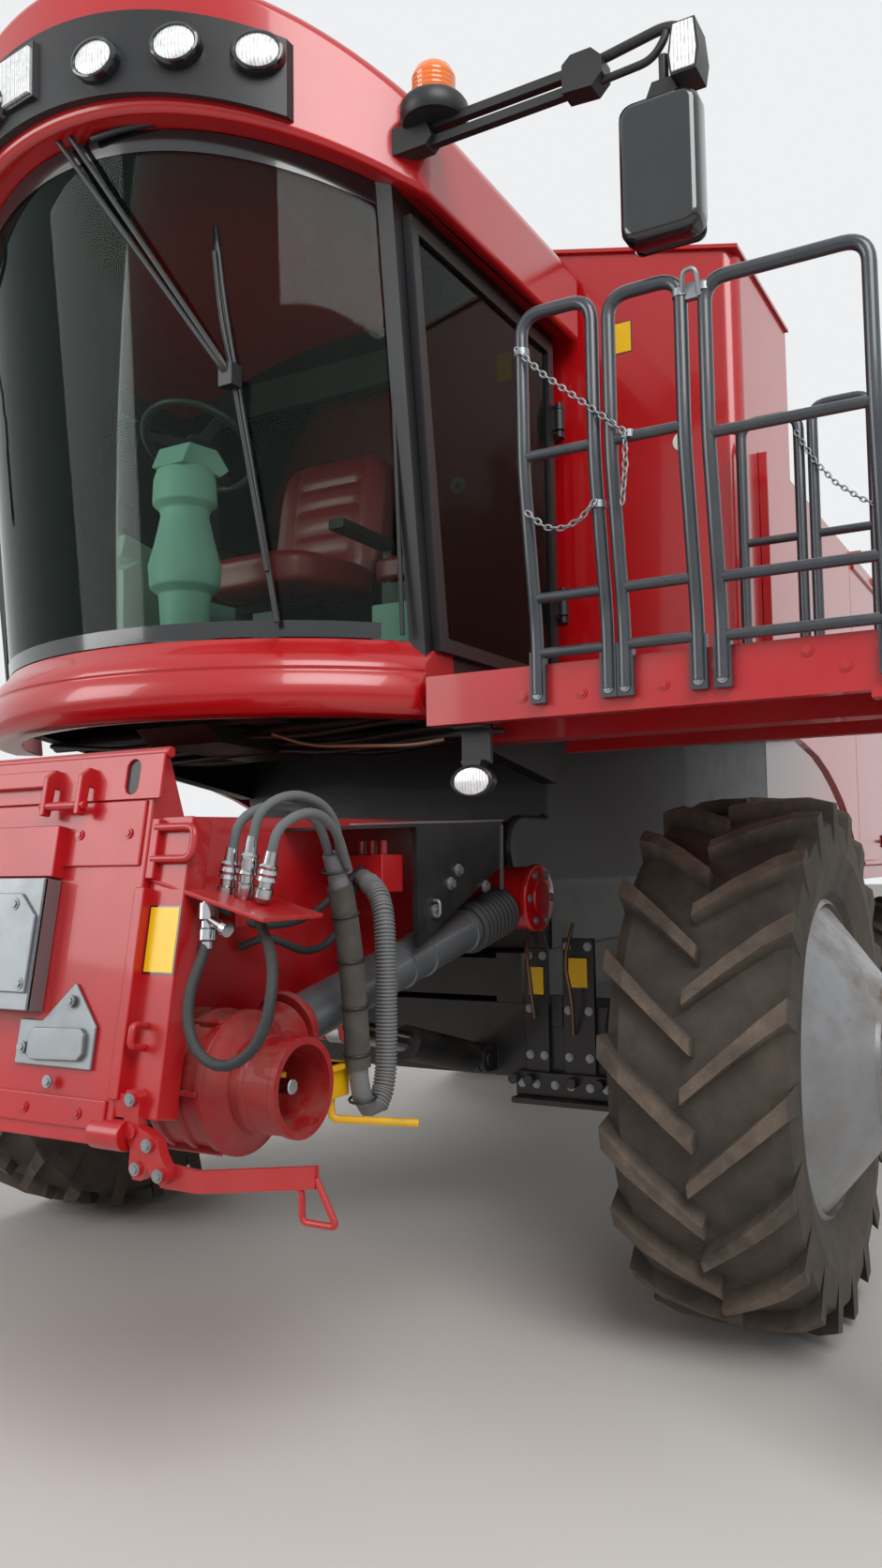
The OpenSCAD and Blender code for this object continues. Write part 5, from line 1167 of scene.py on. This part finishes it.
def cab_inside():
    floor = 2052
    form = bmesh.new()
    prism(form, ((-100, floor), (100, floor), (90, 2180), (60, 2200),
        (60, 2350), (-60, 2350), (-60, 2200), (-90, 2180)), "y", -750, -540)
    for k in range(5):
        block(form, (-130 + 5 * k, -760 + 4 * k, 2350 + 10 * k), (130 - 5 * k, -520 - 4 * k, 2357 + 10 * k))
    block(form, (420, -670, floor), (670, -420, 2412))
    for side in (-1, 1):
        block(form, (side * 300 - 30, -760, 2590), (side * 300 + 30, -430, 2625))
        block(form, (side * 300 - 18, -440, 2440), (side * 300 + 18, -400, 2620))
    finished(form, "seat_bases_and_armrests", BLACK_PLASTIC, rounding=8)
    form = bmesh.new()
    waist = Matrix.Translation((-20, -1135, 0)) @ Matrix.Diagonal((1, 0.95, 1, 1))
    rows = [(floor, 118), (2066, 120)]
    for k in range(5):
        rows += [(2080 + 22 * k, 112 - 4 * k), (2090 + 22 * k, 118 - 4 * k)]
    rows += [(2200, 84), (2230, 78), (2330, 84), (2352, 112), (2420, 118),
        (2500, 96), (2580, 78), (2600, 80), (2622, 104), (2700, 100), (2735, 88)]
    turned(form, (0, 0, 0), (0, 0, 1), rows, 36, waist)
    prism(form, ((-1225, 2728), (-1040, 2728), (-1000, 2760), (-1060, 2812), (-1190, 2800)), "x", -80, 50)
    prism(form, ((-1000, floor), (-400, floor), (-400, 2520), (-900, 2560), (-1000, 2500)), "x", -720, -420)
    prism(form, ((-980, 2560), (-640, 2545), (-640, 2585), (-960, 2640)), "x", -690, -450)
    block(form, (-790, -860, floor), (-725, -300, 2330))
    block(form, (720, -690, floor), (790, -300, 2400))
    block(form, (400, -700, floor), (715, -690, 2330))
    finished(form, "console_and_column", CONSOLE, "chassis", ("steering_console",), 12)
    form = bmesh.new()
    wheel = Matrix.Translation((-20, -1090, 2790)) @ Matrix.Rotation(math.radians(-30), 4, "X")
    circle = [(50 + v, 185 + u) for u, v in ring(12, 14)]
    turned(form, (0, 0, 0), (0, 0, 1), circle, 48, wheel, True)
    turned(form, (0, 0, 0), (0, 0, 1), ((0, 24), (40, 24), (44, 52), (60, 48), (64, 20)), 24, wheel)
    for k in range(3):
        spoke = wheel @ Matrix.Rotation(math.radians(90 + 120 * k), 4, "Z")
        prism(form, ((30, -22), (176, -13), (176, 13), (30, 22)), "z", 44, 56, spoke)
    rod(form, (-560, -830, 2600), (-560, -870, 2720), 12)
    turned(form, (-560, -866, 2700), (-560, -890, 2790), ((0, 20), (30, 30), (70, 30), (90, 16)), 18)
    block(form, (-840, -820, 2700), (-800, -560, 2900))
    finished(form, "steering_wheel_and_lever", BLACK_PLASTIC, rounding=2)
    form = bmesh.new()
    block(form, (-650, -232, 3310), (650, -222, 3440))
    prism(form, [(790, -240), (-790, -240)] + [(-930 * math.sin(a), CAB_CENTRE - 930 * math.cos(a))
        for a in [math.radians(56 - 8 * k) for k in range(15)]], "z", 2051, 2058)
    finished(form, "cab_floor_mat", FLOOR_MAT)


# Under the cab: front plates of the axle, pipes, cables and the work lamp on the platform's beam
def under_cab():
    form = bmesh.new()
    block(form, (672, -150, 650), (762, -129, 1172))
    block(form, (817, -150, 660), (935, -129, 1208))
    block(form, (640, -168, 662), (1005, -129, 745))
    prism(form, ((672, 1172), (762, 1172), (742, 1230), (690, 1230)), "y", -150, -135)
    block(form, (770, -142, 900), (812, -131, 1010))
    for x in (640, 700, 860, 960):
        rod(form, (x, -200, 720), (x, -129, 720), 18)
    block(form, (640, -210, 640), (1010, -150, 660))
    finished(form, "axle_front_plates", BLACK_FRAME, rounding=3, both=True)
    on_plates = ((690, 1145), (744, 1145), (690, 800), (744, 800), (690, 960), (838, 1180), (914, 1180),
        (838, 960), (914, 960), (838, 800), (914, 800))
    spots = [(s * x, -151, z) for s in (1, -1) for x, z in on_plates]
    spots += [(s * x, -169, 704) for s in (1, -1) for x in (665, 720, 790, 850, 920, 980)]
    bolts("axle_plate_bolts", "chassis", spots, (0, -1, 0), 10)
    form = bmesh.new()
    for y, z in ((-1000, 1905), (-780, 1890), (-560, 1925)):
        rod(form, (-740, y, z), (740, y, z), 21)
    for k, (y, z) in enumerate(((-1060, 1880), (-900, 1870), (-880, 1845), (-650, 1860))):
        bent(form, ((-700, y, z + 20), (-350, y + 30, z - 12), (60 * k, y, z + 8),
            (380, y - 20, z - 20), (760, y + 10, z + 14), (900, y + 140, z + 30)), 120, 9 + k)
    prism(form, ((-1250, 1900), (-1180, 1850), (-700, 1835), (-650, 1900)), "x", -120, 160)
    block(form, (300, -1320, 1890), (420, -1180, 1985))
    block(form, (500, -1230, 1900), (600, -1120, 1985))
    finished(form, "under_cab_pipes", BLACK_PLASTIC, rounding=3)
    form = bmesh.new()
    bent(form, ((420, -1260, 1850), (520, -1215, 1812), (820, -1150, 1800), (905, -1120, 1815)), 60, 6)
    bent(form, ((700, -160, 1240), (705, -200, 1160), (720, -205, 1050), (716, -165, 930)), 60, 7)
    bent(form, ((865, -160, 1260), (850, -210, 1130), (880, -215, 1010), (862, -165, 880)), 60, 7)
    finished(form, "bare_brake_pipes", COPPER_PIPE)
    form = bmesh.new()
    block(form, (950, -1104, 1742), (1040, -1090, 1850))
    block(form, (950, -1160, 1836), (1040, -1090, 1850))
    prism(form, ((962, 1752), (1028, 1752), (1018, 1728), (972, 1728)), "y", -1135, -1090)
    oval = Matrix.Translation((995, -1135, 1694)) @ Matrix.Diagonal((1.6, 1, 1.1, 1))
    turned(form, (0, 50, 0), (0, -20, 0), ((0, 24), (16, 38), (40, 41),
        (50, 41), (56, 36), (50, 34), (20, 30), (4, 16)), 36, oval)
    finished(form, "work_lamp_housing", BLACK_PLASTIC, rounding=1.5)
    form = bmesh.new()
    turned(form, (0, 2, 0), (0, -20, 0), ((0, 33), (3, 33), (6, 20), (7, 1)), 32, oval)
    finished(form, "work_lamp_lens", LENS_RIBBED)
    bolts("platform_beam_bolts", "chassis", [(x, -1191, z) for x, z in ((1180, 1900), (1345, 1898),
        (1560, 1900), (1690, 1935), (1900, 1948), (1985, 1905), (2060, 1945))], (0, -1, 0), 9, RED)


# Blank yellow plates and the round white sticker
def blank_plates():
    yellow = {"feeder": bmesh.new(), "chassis": bmesh.new()}
    border = {"feeder": bmesh.new(), "chassis": bmesh.new()}
    block(yellow["feeder"], (672, 17.6, 362), (752, 19.4, 500), PLATE)
    block(border["feeder"], (668, 18.4, 358), (756, 20.2, 504), PLATE)
    for low, high in (((690, -152.6, 1010), (745, -151, 1105)), ((842, -152.6, 1040), (910, -151, 1140))):
        block(yellow["chassis"], low, high)
        block(border["chassis"], (low[0] - 4, -151.6, low[2] - 4), (high[0] + 4, -150, high[2] + 4))
    block(yellow["chassis"], (1066, TANK_FRONT - 1.8, 3240), (1128, TANK_FRONT - 0.2, 3345))
    block(border["chassis"], (1062, TANK_FRONT - 1, 3236), (1132, TANK_FRONT - 0.1, 3349))
    for body in ("feeder", "chassis"):
        finished(yellow[body], body + "_blank_plates", YELLOW_FILM, body)
        finished(border[body], body + "_plate_borders", GLOSS_BLACK, body)
    white = bmesh.new()
    turned(white, (1300, TANK_FRONT - 0.2, 2884), (1300, TANK_FRONT - 5, 2884),
        ((0, 33), (1.6, 33), (1.8, 31)), 36)
    finished(white, "tank_round_sticker", WHITE_FILM)
    form = bmesh.new()
    turned(form, (1300, TANK_FRONT - 0.6, 2884), (1300, TANK_FRONT - 8, 2884), ((0, 12), (4, 12), (6, 8)), 20)
    finished(form, "tank_catch", GALVANISED)


# Floor, backdrop and lamps
def studio():
    mesh = bpy.data.meshes.new("pale_floor")
    mesh.from_pydata([(-60, -60, 0), (60, -60, 0), (60, 60, 0), (-60, 60, 0)], [], [(0, 1, 2, 3)])
    floor = bpy.data.objects.new("pale_floor", mesh)
    bpy.context.scene.collection.objects.link(floor)
    material, tree, _ = finish_named("pale_matt_floor")
    shader = add(tree, "ShaderNodeBsdfPrincipled", {
        "Base Color": linear("DAD7D2"), "Roughness": 0.9, "Specular IOR Level": 0.1})
    add(tree, "ShaderNodeOutputMaterial", {"Surface": shader})
    mesh.materials.append(material)
    world = bpy.data.worlds.new("studio")
    bpy.context.scene.world = world
    world.use_nodes = True
    tree = world.node_tree
    tree.nodes.clear()
    path = add(tree, "ShaderNodeLightPath")
    through = add(tree, "ShaderNodeMath", {
        0: path.outputs["Is Camera Ray"], 1: path.outputs["Is Transmission Ray"]}, operation="MAXIMUM")
    seen = add(tree, "ShaderNodeMath", {0: through, 1: path.outputs["Is Glossy Ray"]}, operation="MAXIMUM")
    light = add(tree, "ShaderNodeBackground", {"Color": linear("F4F6F8"), "Strength": 0.5})
    pale = add(tree, "ShaderNodeBackground", {"Color": linear("EEF0F1"), "Strength": 1.0})
    mix = add(tree, "ShaderNodeMixShader", {0: seen, 1: light, 2: pale})
    add(tree, "ShaderNodeOutputWorld", {"Surface": mix})
    # Columns: name, place, target, width, watts
    lamps = (
        ("key_softbox", (5.5, -7.5, 7.5), (0.2, 0, 1.6), 5.0, 520),
        ("front_softbox", (-4.5, -9.0, 4.5), (0, -1.5, 1.8), 4.0, 220),
        ("rear_softbox", (-6.0, 7.0, 7.0), (0, 1.0, 1.5), 5.0, 300),
    )
    for name, place, target, width, watts in lamps:
        data = bpy.data.lights.new(name, "AREA")
        data.size = width
        data.energy = watts
        lamp = bpy.data.objects.new(name, data)
        bpy.context.scene.collection.objects.link(lamp)
        lamp.location = place
        lamp.rotation_euler = (Vector(target) - Vector(place)).to_track_quat("-Z", "Y").to_euler()


for build in (hoses, feeder_front, header_drive, drive_shaft_guard, feeder_fittings, lock_lever, roof_lights,
        mirror_arms, guard_rails, cowl, running_gear_details, side_and_rear_details,
        screen_trim, cushions, cab_inside, under_cab, blank_plates, studio):
    build()
bpy.context.scene.view_settings.view_transform = "Standard"
